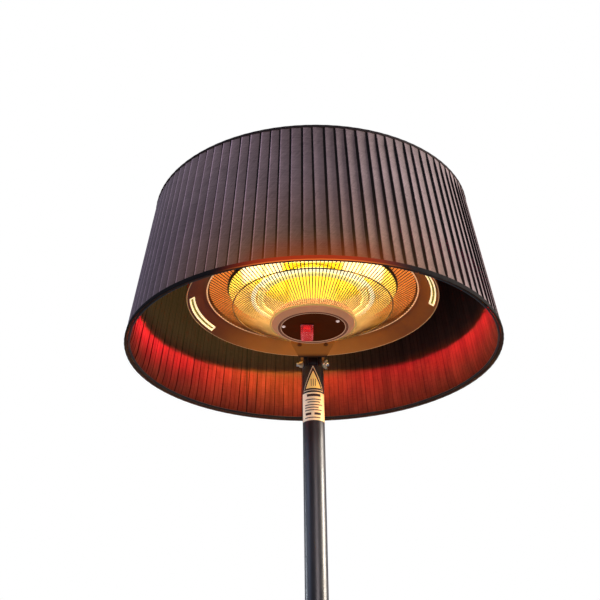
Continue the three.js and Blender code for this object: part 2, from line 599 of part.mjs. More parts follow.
// ---- shade --------------------------------------------------------------------------------
function addShade() {
  const outerAt = (z) => SHADE_R + ((SHADE_TOP_R - SHADE_R) * z) / SHADE_HEIGHT;
  const shell = (z0, z1, lift, thick) => turned([
    [outerAt(z0) + lift, z0], [outerAt(z1) + lift, z1],
    [outerAt(z1) + lift - thick, z1], [outerAt(z0) + lift - thick, z0]], WIDE);
  add(head, 'shade_fabric', shell(0, SHADE_HEIGHT, 0, SHADE_THICK), 'pleatedFabric');
  add(head, 'hem_bottom', shell(0, HEM_HEIGHT, HEM_THICK + GAP, HEM_THICK), 'hemFabric');
  add(head, 'hem_top', shell(SHADE_HEIGHT - TOP_HEM_HEIGHT, SHADE_HEIGHT, HEM_THICK + GAP,
    HEM_THICK), 'hemFabric');

  const wire = 3.4;
  const ringAt = (z) => {
    const r = outerAt(z) - SHADE_THICK - 1.2;
    return tube(r, r - wire, z - wire / 2, z + wire / 2, WIDE);
  };
  const topRingZ = SHADE_HEIGHT - TOP_HEM_HEIGHT;
  add(head, 'shade_bottom_ring', ringAt(4), 'blackPaint');
  add(head, 'shade_top_ring', ringAt(topRingZ), 'blackPaint');

  const spokeEnd = (outerAt(topRingZ) - SHADE_THICK - 1.2 - wire) * Math.cos(Math.PI / WIDE) - GAP;
  const spoke = block(10, spokeEnd, -2.5, 2.5, topRingZ - 2, topRingZ + 2);
  const hub = tube(17, STEM_R + GAP, topRingZ - 8, topRingZ + 2);
  const spokes = [45, 135, 225, 315].map((degrees) => spoke.clone().rotateZ(radians(degrees)));
  const bore = bar(STEM_R + GAP, topRingZ - 20, topRingZ + 20);
  add(head, 'shade_spider', cut(join(hub, ...spokes), bore), 'blackPaint');

  const panelBottom = topRingZ + 2.4;
  add(head, 'shade_top_panel', turned([[STEM_R + 0.8, panelBottom],
    [outerAt(SHADE_HEIGHT) - SHADE_THICK - 1.2, panelBottom],
    [outerAt(SHADE_HEIGHT) - SHADE_THICK - 1.2, panelBottom + 1.6],
    [STEM_R + 0.8, panelBottom + 1.6]], WIDE), 'pleatedFabric');

  // The stem carries the shade on the hood: a shoulder under the hub, a cap nut on top.
  const hubBottom = topRingZ - 8;
  add(head, 'shade_stem', turned([[0, 160], [STEM_R, 160], [STEM_R, HOOD_TOP + GAP],
    [12, HOOD_TOP + GAP], [12, HOOD_TOP + 6], [8, HOOD_TOP + 10], [8, hubBottom - GAP],
    [STEM_R, hubBottom - GAP], [STEM_R, SHADE_HEIGHT + 6], [0, SHADE_HEIGHT + 6]], SMALL),
  'blackPaint');
  add(head, 'stem_nut', cut(plate(hexagon(17), 161, 161 + 8), bar(STEM_R + GAP, 150, 175)),
    'bareSteel');
  const capBottom = SHADE_HEIGHT + 0.6;
  add(head, 'cap_nut', turned([[STEM_R + GAP, capBottom], [13, capBottom], [13, capBottom + 2],
    [9, capBottom + 4], [8, capBottom + 9], [4, capBottom + 12], [0, capBottom + 12.6],
    [0, capBottom + 6], [STEM_R + GAP, capBottom + 6]], SMALL), 'blackPaint');
}

addBase();
addPole();
addKnuckle();
const neckScrews = addNeckBracket();
addCup(neckScrews);
addGuard();
addReflector();
addHood();
addWiring();
addShade();

export default heater;
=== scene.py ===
"""Looks of a standing outdoor heater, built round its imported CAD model.

Outlines are in millimetres, as radius and height, from the head's own origin, which is the middle
of the shade's mouth, or from the ground under the pole. Places are in metres, in the frame's own
axes: X to the right, Y to the back and Z up.
"""

import json
import math
import random

import bmesh
import bpy
from mathutils import Matrix, Vector

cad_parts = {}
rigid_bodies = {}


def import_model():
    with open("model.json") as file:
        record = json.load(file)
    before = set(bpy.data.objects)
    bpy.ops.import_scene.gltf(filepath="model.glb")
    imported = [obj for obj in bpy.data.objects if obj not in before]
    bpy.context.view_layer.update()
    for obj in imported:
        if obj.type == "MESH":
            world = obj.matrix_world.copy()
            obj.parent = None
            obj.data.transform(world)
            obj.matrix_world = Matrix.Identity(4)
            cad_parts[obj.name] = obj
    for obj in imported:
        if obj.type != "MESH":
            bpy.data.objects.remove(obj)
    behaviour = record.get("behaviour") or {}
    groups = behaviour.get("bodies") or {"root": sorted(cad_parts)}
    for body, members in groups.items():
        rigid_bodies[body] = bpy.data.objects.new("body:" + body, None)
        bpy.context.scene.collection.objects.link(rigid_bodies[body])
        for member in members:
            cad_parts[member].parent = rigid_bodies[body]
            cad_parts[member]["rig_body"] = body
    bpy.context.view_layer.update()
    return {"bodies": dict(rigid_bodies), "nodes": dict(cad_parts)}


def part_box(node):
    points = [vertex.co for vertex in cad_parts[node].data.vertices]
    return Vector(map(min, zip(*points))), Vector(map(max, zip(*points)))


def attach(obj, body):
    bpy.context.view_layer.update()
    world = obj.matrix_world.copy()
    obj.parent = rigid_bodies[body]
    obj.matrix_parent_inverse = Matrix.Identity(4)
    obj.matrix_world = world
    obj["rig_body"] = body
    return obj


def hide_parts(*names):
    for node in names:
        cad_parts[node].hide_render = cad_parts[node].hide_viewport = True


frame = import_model()
scene = bpy.context.scene
MM = 0.001


# ---- places, from the frame ------------------------------------------------------------------
def middle(node):
    low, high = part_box(node)
    return (low + high) / 2


def radius(node):
    """Half a round node's width, in millimetres."""
    low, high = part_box(node)
    return (high.x - low.x) / 2 / MM


def from_head(node):
    """A node's lowest and highest point, in millimetres from the head's origin."""
    low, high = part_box(node)
    return (low - HEAD) / MM, (high - HEAD) / MM


FABRIC_LOW, FABRIC_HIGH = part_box("shade_fabric")
HEAD = Vector((middle("hood").x, middle("hood").y, FABRIC_LOW.z))
PIVOT = middle("pivot_bolt")
POLE_R = radius("upper_pole")
SHADE_R = radius("shade_fabric")
SHADE_HEIGHT = (FABRIC_HIGH.z - FABRIC_LOW.z) / MM
SHADE_TOP_R = radius("hem_top") - (radius("hem_bottom") - SHADE_R)
SHADE_SLOPE = (SHADE_TOP_R - SHADE_R) / SHADE_HEIGHT

PLEATS = 104
SEAM_X = -0.1195                        # where the fabric's ends meet, at the back
LIP = Vector((205.7, 90.5))             # the hood's lowest edge, as radius and height
THROAT = Vector((176.2, 108.3))         # the inner edge of the hood's skirt
LIGHT_ARCS = {"left": 167, "right": -13}
LIGHT_SPAN = 35                         # degrees of each light slot
LIGHT_BEADS = 19
GUARD_WIRES = 144
GUARD_INNER = Vector((69.2, 53.9))
GUARD_OUTER = Vector((173.6, 107))
HOOP_R = 131
LAMP_GAP = 24                           # degrees between a lamp's two ends, at the back
WING_TILT = math.radians(65)
HEAT_LIGHTS = 24


# ---- materials -------------------------------------------------------------------------------
class Paint:
    """A node material: a Principled shader, with textures placed in the object's own space."""

    def __init__(self, name, color, roughness, metallic=0.0, **sockets):
        self.material = bpy.data.materials.new(name)
        self.material.use_nodes = True
        self.tree = self.material.node_tree
        self.shader = self.tree.nodes["Principled BSDF"]
        self.feed("Base Color", (*color, 1.0))
        self.feed("Roughness", roughness)
        self.feed("Metallic", metallic)
        for socket, value in sockets.items():
            self.feed(socket.replace("_", " "), value)
        self.place = self.node("TexCoord", {}, "Object")

    def fill(self, socket, value):
        """Links a socket to another one, or gives it a value."""
        if isinstance(value, bpy.types.NodeSocket):
            self.tree.links.new(value, socket)
        else:
            socket.default_value = value

    def feed(self, name, value):
        self.fill(self.shader.inputs[name], value)

    def node(self, kind, inputs, output=0, **settings):
        """One output of a new node, with its settings and its inputs' values or links."""
        made = self.tree.nodes.new("ShaderNode" + kind)
        for key, value in settings.items():
            setattr(made, key, value)
        for socket, value in inputs.items():
            self.fill(made.inputs[socket], value)
        return made.outputs[output]

    def noise(self, scale, detail, roughness=0.5, stretch=None, place=None):
        place = place or self.place
        if stretch:
            place = self.node("Mapping", {"Vector": place, "Scale": stretch}, "Vector")
        return self.node("TexNoise", {"Vector": place, "Scale": scale, "Detail": detail,
                                      "Roughness": roughness}, "Fac")

    def math(self, operation, *values):
        return self.node("Math", dict(enumerate(values)), operation=operation)

    def product(self, first, *others):
        for other in others:
            first = self.math("MULTIPLY", first, other)
        return first

    def times(self, a, b):
        """The product of two colours."""
        return self.node("Mix", {"Factor": 1.0, "A": a, "B": b}, "Result", data_type="RGBA",
                         blend_type="MULTIPLY")

    def ramp(self, factor, stops):
        made = self.tree.nodes.new("ShaderNodeValToRGB")
        while len(made.color_ramp.elements) < len(stops):
            made.color_ramp.elements.new(0.5)
        for element, (place, color) in zip(made.color_ramp.elements, stops):
            element.position = place
            element.color = (*color, 1.0)
        self.fill(made.inputs["Fac"], factor)
        return made.outputs["Color"]

    def along(self, axis):
        """The coordinate along an axis of the object's own space."""
        return self.node("SeparateXYZ", {"Vector": self.place}, axis)

    def rise(self, value, low, high):
        """Rises smoothly from 0 to 1 as the value goes from low to high."""
        return self.node("MapRange", {"Value": value, "From Min": low, "From Max": high},
                         "Result", interpolation_type="SMOOTHSTEP")

    def near(self, axis, low, high, power=1.0):
        """Rises smoothly from 0 to 1 between two places along an axis, from the head's origin."""
        start = HEAD["XYZ".index(axis)]
        result = self.rise(self.along(axis), start + low, start + high)
        return result if power == 1.0 else self.math("POWER", result, power)

    def color_by(self, factor, stops):
        self.feed("Base Color", self.ramp(factor, stops))

    def tint(self, factor, color):
        """Multiplies the base colour by another one where the factor is 1."""
        before = self.shader.inputs["Base Color"].links[0].from_socket
        tint = self.ramp(factor, [(0.0, (1.0, 1.0, 1.0)), (1.0, color)])
        self.feed("Base Color", self.times(before, tint))

    def shift(self, factor, low, high, socket="Roughness", span=(0.35, 0.65)):
        """Drives a shader socket from low to high by a texture."""
        names = ("Value", "From Min", "From Max", "To Min", "To Max")
        inputs = dict(zip(names, (factor, *span, low, high)))
        self.feed(socket, self.node("MapRange", inputs, "Result"))

    def bump(self, height, distance, strength):
        self.feed("Normal", self.node("Bump", {"Height": height, "Distance": distance,
                                               "Strength": strength}, "Normal"))

    def glow(self, color, strength):
        """Light of its own, of one colour or of a ramp's, and of one strength or a texture's."""
        self.feed("Emission Color", (*color, 1.0) if isinstance(color, tuple) else color)
        self.feed("Emission Strength", strength)


def shades(color, spread, low=0.35, high=0.65):
    """Two ramp stops, a little darker and a little lighter than a colour."""
    return [(low, [c * (1 - spread) for c in color]), (high, [c * (1 + spread) for c in color])]


def plain(name, color, roughness, tone=None, bump=None, glow=None, metallic=0.0, **sockets):
    """A material that may have an uneven tone, a bump and a glow.

    They are (noise, spread), (noise, distance, strength) and (color, strength).
    """
    paint = Paint(name, color, roughness, metallic, **sockets)
    if tone:
        paint.color_by(paint.noise(*tone[0]), shades(color, tone[1]))
    if bump:
        paint.bump(paint.noise(*bump[0]), *bump[1:])
    if glow:
        paint.glow(*glow)
    return paint.material


RIB = (1600, 1, 0.5, (1.0, 1.0, 0.12))  # the hems' noise: its scale, detail, roughness, stretch
BRONZE = (0.32, 0.098, 0.012)


def thread_texture(paint):
    """Slubs along both threads of a plain weave."""
    threads = paint.node("UVMap", {}, "UV", uv_map="threads")
    return paint.math("ADD", paint.noise(900, 2, 0.6, (1.0, 0.06, 1.0), threads),
                      paint.noise(900, 2, 0.6, (0.06, 1.0, 1.0), threads))


def color_pleats(paint, tone, fold_stops, color):
    """Colours a pleated cloth by its tone and by the place across each fold, which it returns."""
    fold = paint.node("SeparateXYZ", {"Vector": paint.node("UVMap", {}, "UV", uv_map="fold")}, "X")
    paint.feed("Base Color", paint.times(paint.ramp(tone, shades(color, 0.30, 0.42, 0.62)),
                                         paint.ramp(fold, fold_stops)))
    return fold


def pleated_cloth():
    """Linen-like charcoal cloth with a soft sheen, with painted shade deepening into its folds and
    painted highlights on their edges, strongest on the left.

    The lamps' light through the cloth at the bottom of the front is a painted red glow, and the
    upper left is painted in shade.
    """
    paint = Paint("pleated_cloth", (0.16, 0.13, 0.14), 0.9, Sheen_Weight=0.08,
                  Sheen_Roughness=0.5, Specular_IOR_Level=0.15)
    threads = thread_texture(paint)
    tone = paint.math("ADD", paint.product(threads, 0.36),
                      paint.product(paint.noise(9, 4, 0.6), 0.3))
    # the fold's colours: a painted highlight on its edge, then painted shade deepening into the
    # tuck
    painted_highlight, full, half_shade, crease_shade = (1.25, 1.22, 1.25), (1.0, 1.0, 1.0), (0.82, 0.80, 0.78), (0.03,) * 3
    fold = color_pleats(paint, tone, [(0.0, painted_highlight), (0.06, painted_highlight), (0.30, full), (0.60, half_shade),
                                      (0.64, crease_shade)], (0.178, 0.136, 0.142))
    # painted highlight: the fold edges on the left side are painted far paler
    paint.tint(paint.product(paint.rise(fold, 0.09, 0.05), paint.near("X", 0.02, -0.12)),
               (2.4, 2.3, 2.5))
    paint.bump(threads, 0.0004, 0.6)
    # painted red glow of the lamps' light through the cloth, faint and wide and strong near the
    # hem; the colour is painted warmer and darker under it
    wide = paint.product(paint.near("Y", -0.17, -0.29), paint.near("Z", 0.20, 0.01, 1.5))
    close = paint.product(paint.near("Y", -0.22, -0.292), paint.near("X", 0.16, 0.05),
                          paint.near("X", -0.15, -0.05), paint.near("Z", 0.075, -0.01, 1.6))
    paint.glow(paint.ramp(close, [(0.0, (1.0, 0.42, 0.07)), (0.35, (1.0, 0.19, 0.02))]),
               paint.math("ADD", paint.product(wide, 0.020), paint.product(close, 0.18)))
    paint.tint(wide, (0.97, 0.72, 0.50))
    # painted shade on the upper left
    paint.tint(paint.product(paint.near("X", -0.08, -0.16), paint.near("Z", 0.20, 0.08)),
               (0.80, 0.80, 0.84))
    paint.tint(close, (0.5, 0.30, 0.14))
    return paint.material


def cloth_lining():
    """The same cloth's inner side, browner, with painted shade and painted lamp light, and its
    seam.
    """
    paint = Paint("cloth_lining", (0.19, 0.11, 0.06), 0.95)
    threads = thread_texture(paint)
    streaks = paint.noise(70, 3, 0.6, (1.0, 1.0, 0.05))
    tone = paint.math("ADD", paint.product(threads, 0.26), paint.product(streaks, 0.5))
    # painted shade along the creases of the folds
    full, half_shade, crease_shade = (1.0, 1.0, 1.0), (0.5, 0.46, 0.44), (0.25, 0.2, 0.2)
    color_pleats(paint, tone, [(0.0, crease_shade), (0.04, full), (0.33, full), (0.37, half_shade), (0.41, full),
                               (0.71, full), (0.76, crease_shade)], (0.165, 0.080, 0.034))
    # painted red lamp light on the lower part, below the hood's shadow
    paint.tint(paint.near("Z", 0.10, 0.075), (1.35, 0.40, 0.55))
    # painted shade on the upper right
    paint.tint(paint.product(paint.near("X", -0.02, 0.12), paint.near("Z", 0.08, 0.10)),
               (0.50, 0.40, 0.55))
    paint.bump(threads, 0.0004, 0.6)
    seam = paint.product(paint.near("X", SEAM_X - 0.0014, SEAM_X - 0.0006),
                         paint.near("X", SEAM_X + 0.0014, SEAM_X + 0.0006),
                         paint.near("Y", 0.18, 0.20))
    paint.tint(seam, (0.12, 0.12, 0.12))
    # a faint painted warm glow of lamp light on the left
    paint.glow((1.0, 0.60, 0.17), paint.product(paint.near("X", 0.20, -0.22),
                                                paint.near("Z", 0.06, 0.12), 0.034))
    return paint.material


def hem_cloth():
    """Black binding with a painted red glow of lamp light at the middle of the front, brightest
    along its edge.
    """
    color = (0.008, 0.0065, 0.007)
    paint = Paint("hem_cloth", color, 0.9, Specular_IOR_Level=0.12)
    rib = paint.noise(*RIB)
    paint.color_by(rib, shades(color, 0.35))
    paint.tint(paint.near("Z", 0.18, 0.22), (3.0, 2.9, 2.9))
    paint.bump(rib, 0.0003, 0.7)
    # painted red lamp light at the middle of the front
    front = paint.product(paint.near("Y", -0.24, -0.290), paint.near("X", 0.14, 0.04),
                          paint.near("X", -0.15, -0.05), paint.near("Z", 0.08, 0.02))
    edge = paint.near("Z", 0.0022, 0.0008)
    bright = paint.math("ADD", paint.product(edge, 0.42), 0.36)
    paint.glow(paint.ramp(edge, [(0.0, (1.0, 0.080, 0.006)), (1.0, (1.0, 0.20, 0.03))]),
               paint.product(front, bright))
    return paint.material


def powder_coat(name, color, roughness):
    paint = Paint(name, color, roughness, Coat_Weight=0.25, Coat_Roughness=0.25)
    wear = paint.noise(14, 5, 0.65)
    paint.color_by(wear, shades(color, 0.25))
    paint.shift(wear, roughness * 0.85, roughness * 1.25)
    paint.bump(paint.noise(1400, 2), 0.00005, 0.8)
    return paint.material


def bronze_enamel():
    """The hood's paint, with painted shade at the far left and a painted glow of lamp light at the
    back.
    """
    paint = Paint("bronze_enamel", BRONZE, 0.42, Specular_IOR_Level=0.3)
    cloudy = paint.noise(11, 5, 0.6)
    paint.color_by(cloudy, shades(BRONZE, 0.16))
    # painted shade, darker and redder, at the far left
    paint.tint(paint.product(paint.near("X", -0.06, -0.20), paint.near("Y", 0.185, 0.065)),
               (0.50, 0.36, 0.85))
    # painted glow of lamp light at the back
    paint.glow((1.0, 0.33, 0.05), paint.product(paint.near("Y", 0.105, 0.255), 0.28))
    paint.shift(cloudy, 0.3, 0.46)
    paint.bump(paint.noise(1200, 2), 0.00004, 0.8)
    return paint.material


def neck_enamel():
    """The bracket's paint: black low down and bronze higher up, with a painted glow of lamp light
    on the bronze.
    """
    paint = Paint("neck_enamel", BRONZE, 0.42, Specular_IOR_Level=0.3)
    up = paint.near("Z", 0.028, 0.034)
    paint.color_by(up, [(0.0, (0.010, 0.008, 0.008)), (1.0, BRONZE)])
    # painted glow of lamp light on the bronze part
    paint.glow(BRONZE, paint.product(up, 0.45))
    paint.bump(paint.noise(1200, 2), 0.00004, 0.8)
    return paint.material


def painted_glow_edge(name, color):
    """The edge of a painted lip, with a painted glow of its own colour; the pale ones are painted
    highlights.
    """
    return plain(name, color, 0.5, ((40, 3), 0.15), ((900, 2), 0.00003, 0.6), (color, 0.32),
                 Specular_IOR_Level=0.1)


def guard_enamel():
    """Wire enamel, with painted shade at the front and a painted glow of lamp light near the cup.
    """
    color = (0.29, 0.175, 0.07)
    paint = Paint("guard_enamel", color, 0.35, 0.5)
    paint.color_by(paint.noise(30, 3), shades(color, 0.35))
    # painted shade on the wires at the front
    paint.tint(paint.near("Y", -0.03, -0.09), (0.32, 0.36, 0.50))
    paint.bump(paint.noise(2200, 1), 0.00003, 0.6)
    # painted glow of lamp light on the wires near the cup
    across = paint.math("POWER", paint.along("X"), 2.0)
    deep = paint.math("POWER", paint.math("SUBTRACT", paint.along("Y"), HEAD.y), 2.0)
    reach = paint.math("SQRT", paint.math("ADD", across, deep))
    paint.glow((1.0, 0.60, 0.16), paint.product(paint.rise(reach, 0.112, 0.070),
                                                paint.near("Y", 0.14, -0.04), 0.42))
    return paint.material


def washed_out(paint):
    """Where a painted white reflection of the lamps covers the reflector, as they face it closely.
    """
    aside = paint.math("ABSOLUTE", paint.along("X"))
    depth = paint.math("SUBTRACT", paint.along("Y"), paint.product(aside, 0.33))
    yellow_front = paint.product(paint.rise(aside, 0.054, 0.044), paint.near("Y", -0.053, -0.046))
    return paint.product(paint.rise(depth, HEAD.y - 0.022, HEAD.y - 0.036),
                         paint.rise(aside, 0.120, 0.112), paint.near("Z", 0.118, 0.128),
                         paint.math("SUBTRACT", 1.0, yellow_front))


def polished_gold():
    """Spun reflector sheet with a faint heat haze, a painted yellow glow of the lamps' reflection,
    and painted white where the lamps face it closely.
    """
    paint = Paint("polished_gold", (0.9, 0.74, 0.10), 0.35, 1.0)
    haze = paint.noise(16, 4, 0.55)
    paint.color_by(haze, [(0.3, (0.85, 0.70, 0.08)), (0.7, (0.92, 0.80, 0.14))])
    paint.shift(haze, 0.34, 0.46)
    paint.bump(paint.noise(60, 2), 0.0001, 0.4)
    white = washed_out(paint)
    paint.feed("Emission Color",
               paint.ramp(white, [(0.0, (1.0, 0.78, 0.02)), (1.0, (1.0, 0.86, 0.90))]))
    paint.shift(white, 0.22, 0.75, "Emission Strength", (0.0, 1.0))
    return paint.material


def hot_gold():
    """The outer strip of the reflector, with a painted orange-to-white glow of the lamps'
    reflection, whitest where they light it most.
    """
    paint = Paint("hot_gold", (0.95, 0.82, 0.30), 0.4, 1.0)
    whiter = paint.product(paint.math("ADD", paint.near("Y", 0.05, -0.02), washed_out(paint)), 0.5)
    paint.feed("Emission Color",
               paint.ramp(whiter, [(0.0, (1.0, 0.58, 0.16)), (0.5, (1.0, 0.78, 0.05)),
                                   (1.0, (1.0, 0.86, 0.92))]))
    paint.shift(whiter, 0.34, 0.78, "Emission Strength", (0.0, 1.0))
    paint.bump(paint.noise(60, 2), 0.0001, 0.4)
    return paint.material


def zinc(name, color, roughness, glow=0.0):
    """Spangled plating, which may have a painted glow of the lamps' yellow light."""
    paint = Paint(name, color, roughness, 0.9)
    spangle = paint.node("TexVoronoi", {"Vector": paint.place, "Scale": 120}, "Color")
    paint.color_by(spangle, shades(color, 0.18, 0.1, 0.9))
    paint.shift(paint.noise(90, 3), roughness * 0.8, roughness * 1.2)
    paint.bump(paint.noise(700, 3), 0.00004, 0.7)
    paint.glow((1.0, 0.70, 0.16), glow)
    return paint.material


def chrome():
    paint = Paint("chrome_plate", (0.86, 0.84, 0.82), 0.09, 1.0)
    paint.shift(paint.noise(60, 4), 0.05, 0.16)
    paint.bump(paint.noise(300, 3), 0.00003, 0.6)
    # painted glint of lamp light on the chrome
    paint.glow((1.0, 0.70, 0.60), 0.35)
    return paint.material


def black_plastic():
    color = (0.014, 0.013, 0.014)
    paint = Paint("black_plastic", color, 0.5, Specular_IOR_Level=0.4)
    grain = paint.noise(900, 2, 0.6)
    paint.color_by(paint.noise(20, 4), shades(color, 0.2))
    paint.shift(grain, 0.425, 0.575)
    paint.bump(grain, 0.00006, 0.9)
    return paint.material


def lit_red():
    """The rocker's red plastic, lit unevenly from inside."""
    color = (0.62, 0.02, 0.03)
    paint = Paint("lit_red", color, 0.25, Coat_Weight=0.5)
    patch = paint.noise(160, 2)
    paint.color_by(patch, shades(color, 0.3))
    paint.feed("Emission Color", (0.95, 0.03, 0.03, 1.0))
    paint.shift(patch, 0.0, 0.26, "Emission Strength", (0.42, 0.58))
    return paint.material


def clear_boot():
    paint = Paint("clear_boot", (1.0, 0.45, 0.45), 0.12, IOR=1.38, Transmission_Weight=0.9)
    paint.shift(paint.noise(80, 3), 0.06, 0.2)
    paint.bump(paint.noise(120, 3), 0.0002, 0.5)
    # painted red glow of the rocker's light in the clear cover
    paint.glow((0.90, 0.03, 0.035), 0.10)
    return paint.material


def lamp_glow(name, color, strength):
    paint = Paint(name, (0.30, 0.25, 0.10), 0.3)
    paint.glow(paint.ramp(paint.noise(40, 2), shades(color, 0.03)), strength)
    return paint.material


def sticker(name, left, right=None):
    """Printed film, with a painted glow of light and a painted change of light across the pole,
    warmer on the right.
    """
    paint = Paint(name, left, 0.45, Coat_Weight=0.25, Coat_Roughness=0.2)
    # painted light: the colour shifts warmer towards the pole's right side
    tint = paint.ramp(paint.near("X", -0.015, 0.017), [(0.0, left), (1.0, right or left)])
    mottle = paint.ramp(paint.noise(60, 3), shades((1.0, 1.0, 1.0), 0.06))
    paint.feed("Base Color", paint.times(tint, mottle))
    paint.glow(tint, 0.4)
    paint.bump(paint.noise(400, 2), 0.00004, 0.6)
    return paint.material


SLOTS = {
    "pleated_fabric": {"cloth": pleated_cloth(), "lining": cloth_lining()},
    "hem_fabric": {
        "hem": hem_cloth(),
        # the binding's inner side: the same black cloth, painted red-brown as lit by the lamps
        "hem_lining_lamp_lit": plain("hem_lining_lamp_lit", (0.13, 0.064, 0.033), 0.9, (RIB, 0.3),
                            (RIB, 0.0003, 0.7))},
    "black_paint": {
        "black_paint": powder_coat("black_powder_coat", (0.016, 0.016, 0.019), 0.38),
        "label_cream": sticker("label_cream", (0.88, 0.58, 0.20), (0.95, 0.50, 0.10)),
        "label_pale": sticker("label_pale", (0.70, 0.58, 0.44), (0.98, 0.55, 0.20)),
        "label_ink": sticker("label_ink", (0.03, 0.012, 0.008))},
    "black_wire_frame": {"wire_paint": powder_coat("black_wire_enamel", (0.02, 0.02, 0.02), 0.45)},
    "black_plastic": {"black_plastic": black_plastic()},
    "bronze_paint": {
        "bronze": bronze_enamel(),
        "neck": neck_enamel(),
        # the cup's lip, with a painted glow of lamp light
        "lip": plain("lip_enamel", (0.58, 0.25, 0.145), 0.5, ((18, 4), 0.18),
                     ((1200, 2), 0.00004, 0.8), ((1.0, 0.44, 0.20), 0.24),
                     Specular_IOR_Level=0.15),
        # beads painted pale as highlights along the hood's lip and the cup's lip
        "hood_bead": painted_glow_edge("hood_bead", (0.62, 0.36, 0.17)),
        "lip_bead": painted_glow_edge("lip_bead", (0.78, 0.44, 0.26)),
        "inner_rim": painted_glow_edge("inner_rim", (0.22, 0.075, 0.038))},
    "guard_wire": {
        "guard": guard_enamel(),
        # the guard's outer ring, painted pale with a painted glow of lamp light
        "rim_bright": plain("rim_bright", (0.9, 0.55, 0.28), 0.25, None,
                            ((900, 2), 0.00003, 0.5), ((1.0, 0.55, 0.27), 0.55), 0.5)},
    "polished_reflector": {
        "gold": polished_gold(),
        "hot_gold": hot_gold(),
        # the flange: its orange colour and glow are a painted reflection of the shade's red light
        "copper": plain("flange_red_reflection", (0.80, 0.26, 0.05), 0.45, ((14, 4), 0.15),
                        ((80, 2), 0.0001, 0.5), ((1.0, 0.27, 0.04), 0.66), 0.5)},
    "galvanised_steel": {"zinc": zinc("zinc", (0.55, 0.56, 0.58), 0.42)},
    "bare_steel": {
        "steel": zinc("plated_steel", (0.62, 0.62, 0.63), 0.3),
        # the lamp clips, with a painted glow of lamp light
        "lit_steel": zinc("lit_steel", (0.62, 0.62, 0.63), 0.3, 0.55)},
    "chrome": {
        "chrome": chrome(),
        "yellow_zinc": zinc("yellow_zinc", (0.84, 0.66, 0.40), 0.3)},
    "rubber": {
        "rubber": plain("rubber_sheet", (0.028, 0.028, 0.028), 0.85, ((25, 5), 0.35),
                        ((500, 3), 0.0002, 0.7))},
    "concrete": {
        "concrete": plain("cast_concrete", (0.36, 0.35, 0.33), 0.95, ((40, 8, 0.7), 0.3),
                          ((180, 8, 0.7), 0.0006, 0.8))},
    "dark_face": {
        # the face plate, with a faint painted glow of the lamps' red light
        "dark_face": plain("dark_face", (0.085, 0.014, 0.002), 0.7, ((30, 4), 0.1),
                           ((1500, 2), 0.00004, 0.8), ((1.0, 0.20, 0.04), 0.02),
                           Specular_IOR_Level=0.03)},
    "red_rocker": {"red": lit_red()},
    "clear_boot": {"boot": clear_boot()},
    "lamp_glass": {
        "lamp_outer": lamp_glow("outer_lamp_glow", (1.0, 0.93, 0.58), 1.15),
        "lamp_inner": lamp_glow("inner_lamp_glow", (1.0, 0.86, 0.26), 0.85)},
    "ceramic": {
        "ceramic": plain("ceramic_body", (0.72, 0.68, 0.58), 0.6, ((60, 5), 0.12),
                         ((400, 4), 0.0001, 0.7))},
    "light_lens": {
        "cover": plain("light_cover", (1.0, 0.92, 0.62), 0.35, None, ((500, 2), 0.0001, 0.5),
                       ((1.0, 0.84, 0.46), 0.85)),
        "strip": plain("light_strip", (0.30, 0.26, 0.045), 0.5, ((200, 2), 0.2), None,
                       ((0.30, 0.25, 0.04), 0.35)),
        "bead": plain("light_bead", (0.07, 0.06, 0.015), 0.4, ((300, 2), 0.3))},
    "circuit_board": {
        "board": plain("board_green", (0.02, 0.10, 0.05), 0.45, ((300, 1), 0.4),
                       Coat_Weight=0.4)},
}
MATERIALS = {key: material for group in SLOTS.values() for key, material in group.items()}


# ---- mesh helpers ----------------------------------------------------------------------------
def piece(name, vertices, faces, material, node="", body="head", sharp=35):
    """A smooth-shaded object that rides on a body and may take a CAD node's place."""
    mesh = bpy.data.meshes.new(name)
    mesh.from_pydata(vertices, [], faces)
    mesh.update()
    return placed(name, mesh, material, node, body, sharp)


def placed(name, mesh, material, node, body, sharp):
    """Puts a mesh in the scene, with one material or several."""
    keys = [material] if isinstance(material, str) else material
    for key in keys:
        mesh.materials.append(MATERIALS[key])
    smooth(mesh, sharp)
    made = bpy.data.objects.new(name, mesh)
    scene.collection.objects.link(made)
    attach(made, body)
    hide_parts(*([node] if node else []))
    return made


def smooth(mesh, sharp=35):
    mesh.shade_smooth()
    mesh.set_sharp_from_angle(angle=math.radians(sharp))


def rounded(outline, size, steps=3):
    """The same closed outline, with each corner that is off the axis rounded."""
    out = []
    for i, point in enumerate(outline):
        corner = Vector(point)
        if corner.x < 1e-6:
            out.append(tuple(corner))
            continue
        before = Vector(outline[i - 1]) - corner
        after = Vector(outline[(i + 1) % len(outline)]) - corner
        cut_back = min(size, 0.4 * before.length, 0.4 * after.length)
        start = corner + before.normalized() * cut_back
        end = corner + after.normalized() * cut_back
        for k in range(steps + 1):
            t = k / steps
            out.append(tuple(start * (1 - t) ** 2 + corner * 2 * t * (1 - t) + end * t ** 2))
    return out


def flowing(points, per_span=6):
    """A smooth curve through the points."""
    path = [Vector(p) for p in points]
    path = [2 * path[0] - path[1], *path, 2 * path[-1] - path[-2]]
    out = []
    for i in range(1, len(path) - 2):
        a, b, c, d = path[i - 1:i + 3]
        for k in range(per_span):
            t = k / per_span
            out.append(tuple(0.5 * (2 * b + (c - a) * t + (2 * a - 5 * b + 4 * c - d) * t ** 2
                                    + (3 * b - a - 3 * c + d) * t ** 3)))
    out.append(tuple(path[-2]))
    return out


def thick(path, amount=-1.0):
    """A closed outline: the path, and back along it with each point moved sideways by amount."""
    points = [Vector(p) for p in path]
    back = []
    for i, point in enumerate(points):
        heading = (points[min(i + 1, len(points) - 1)] - points[max(i - 1, 0)]).normalized()
        back.append(tuple(point + Vector((-heading.y, heading.x)) * amount))
    return [tuple(p) for p in points] + back[::-1]


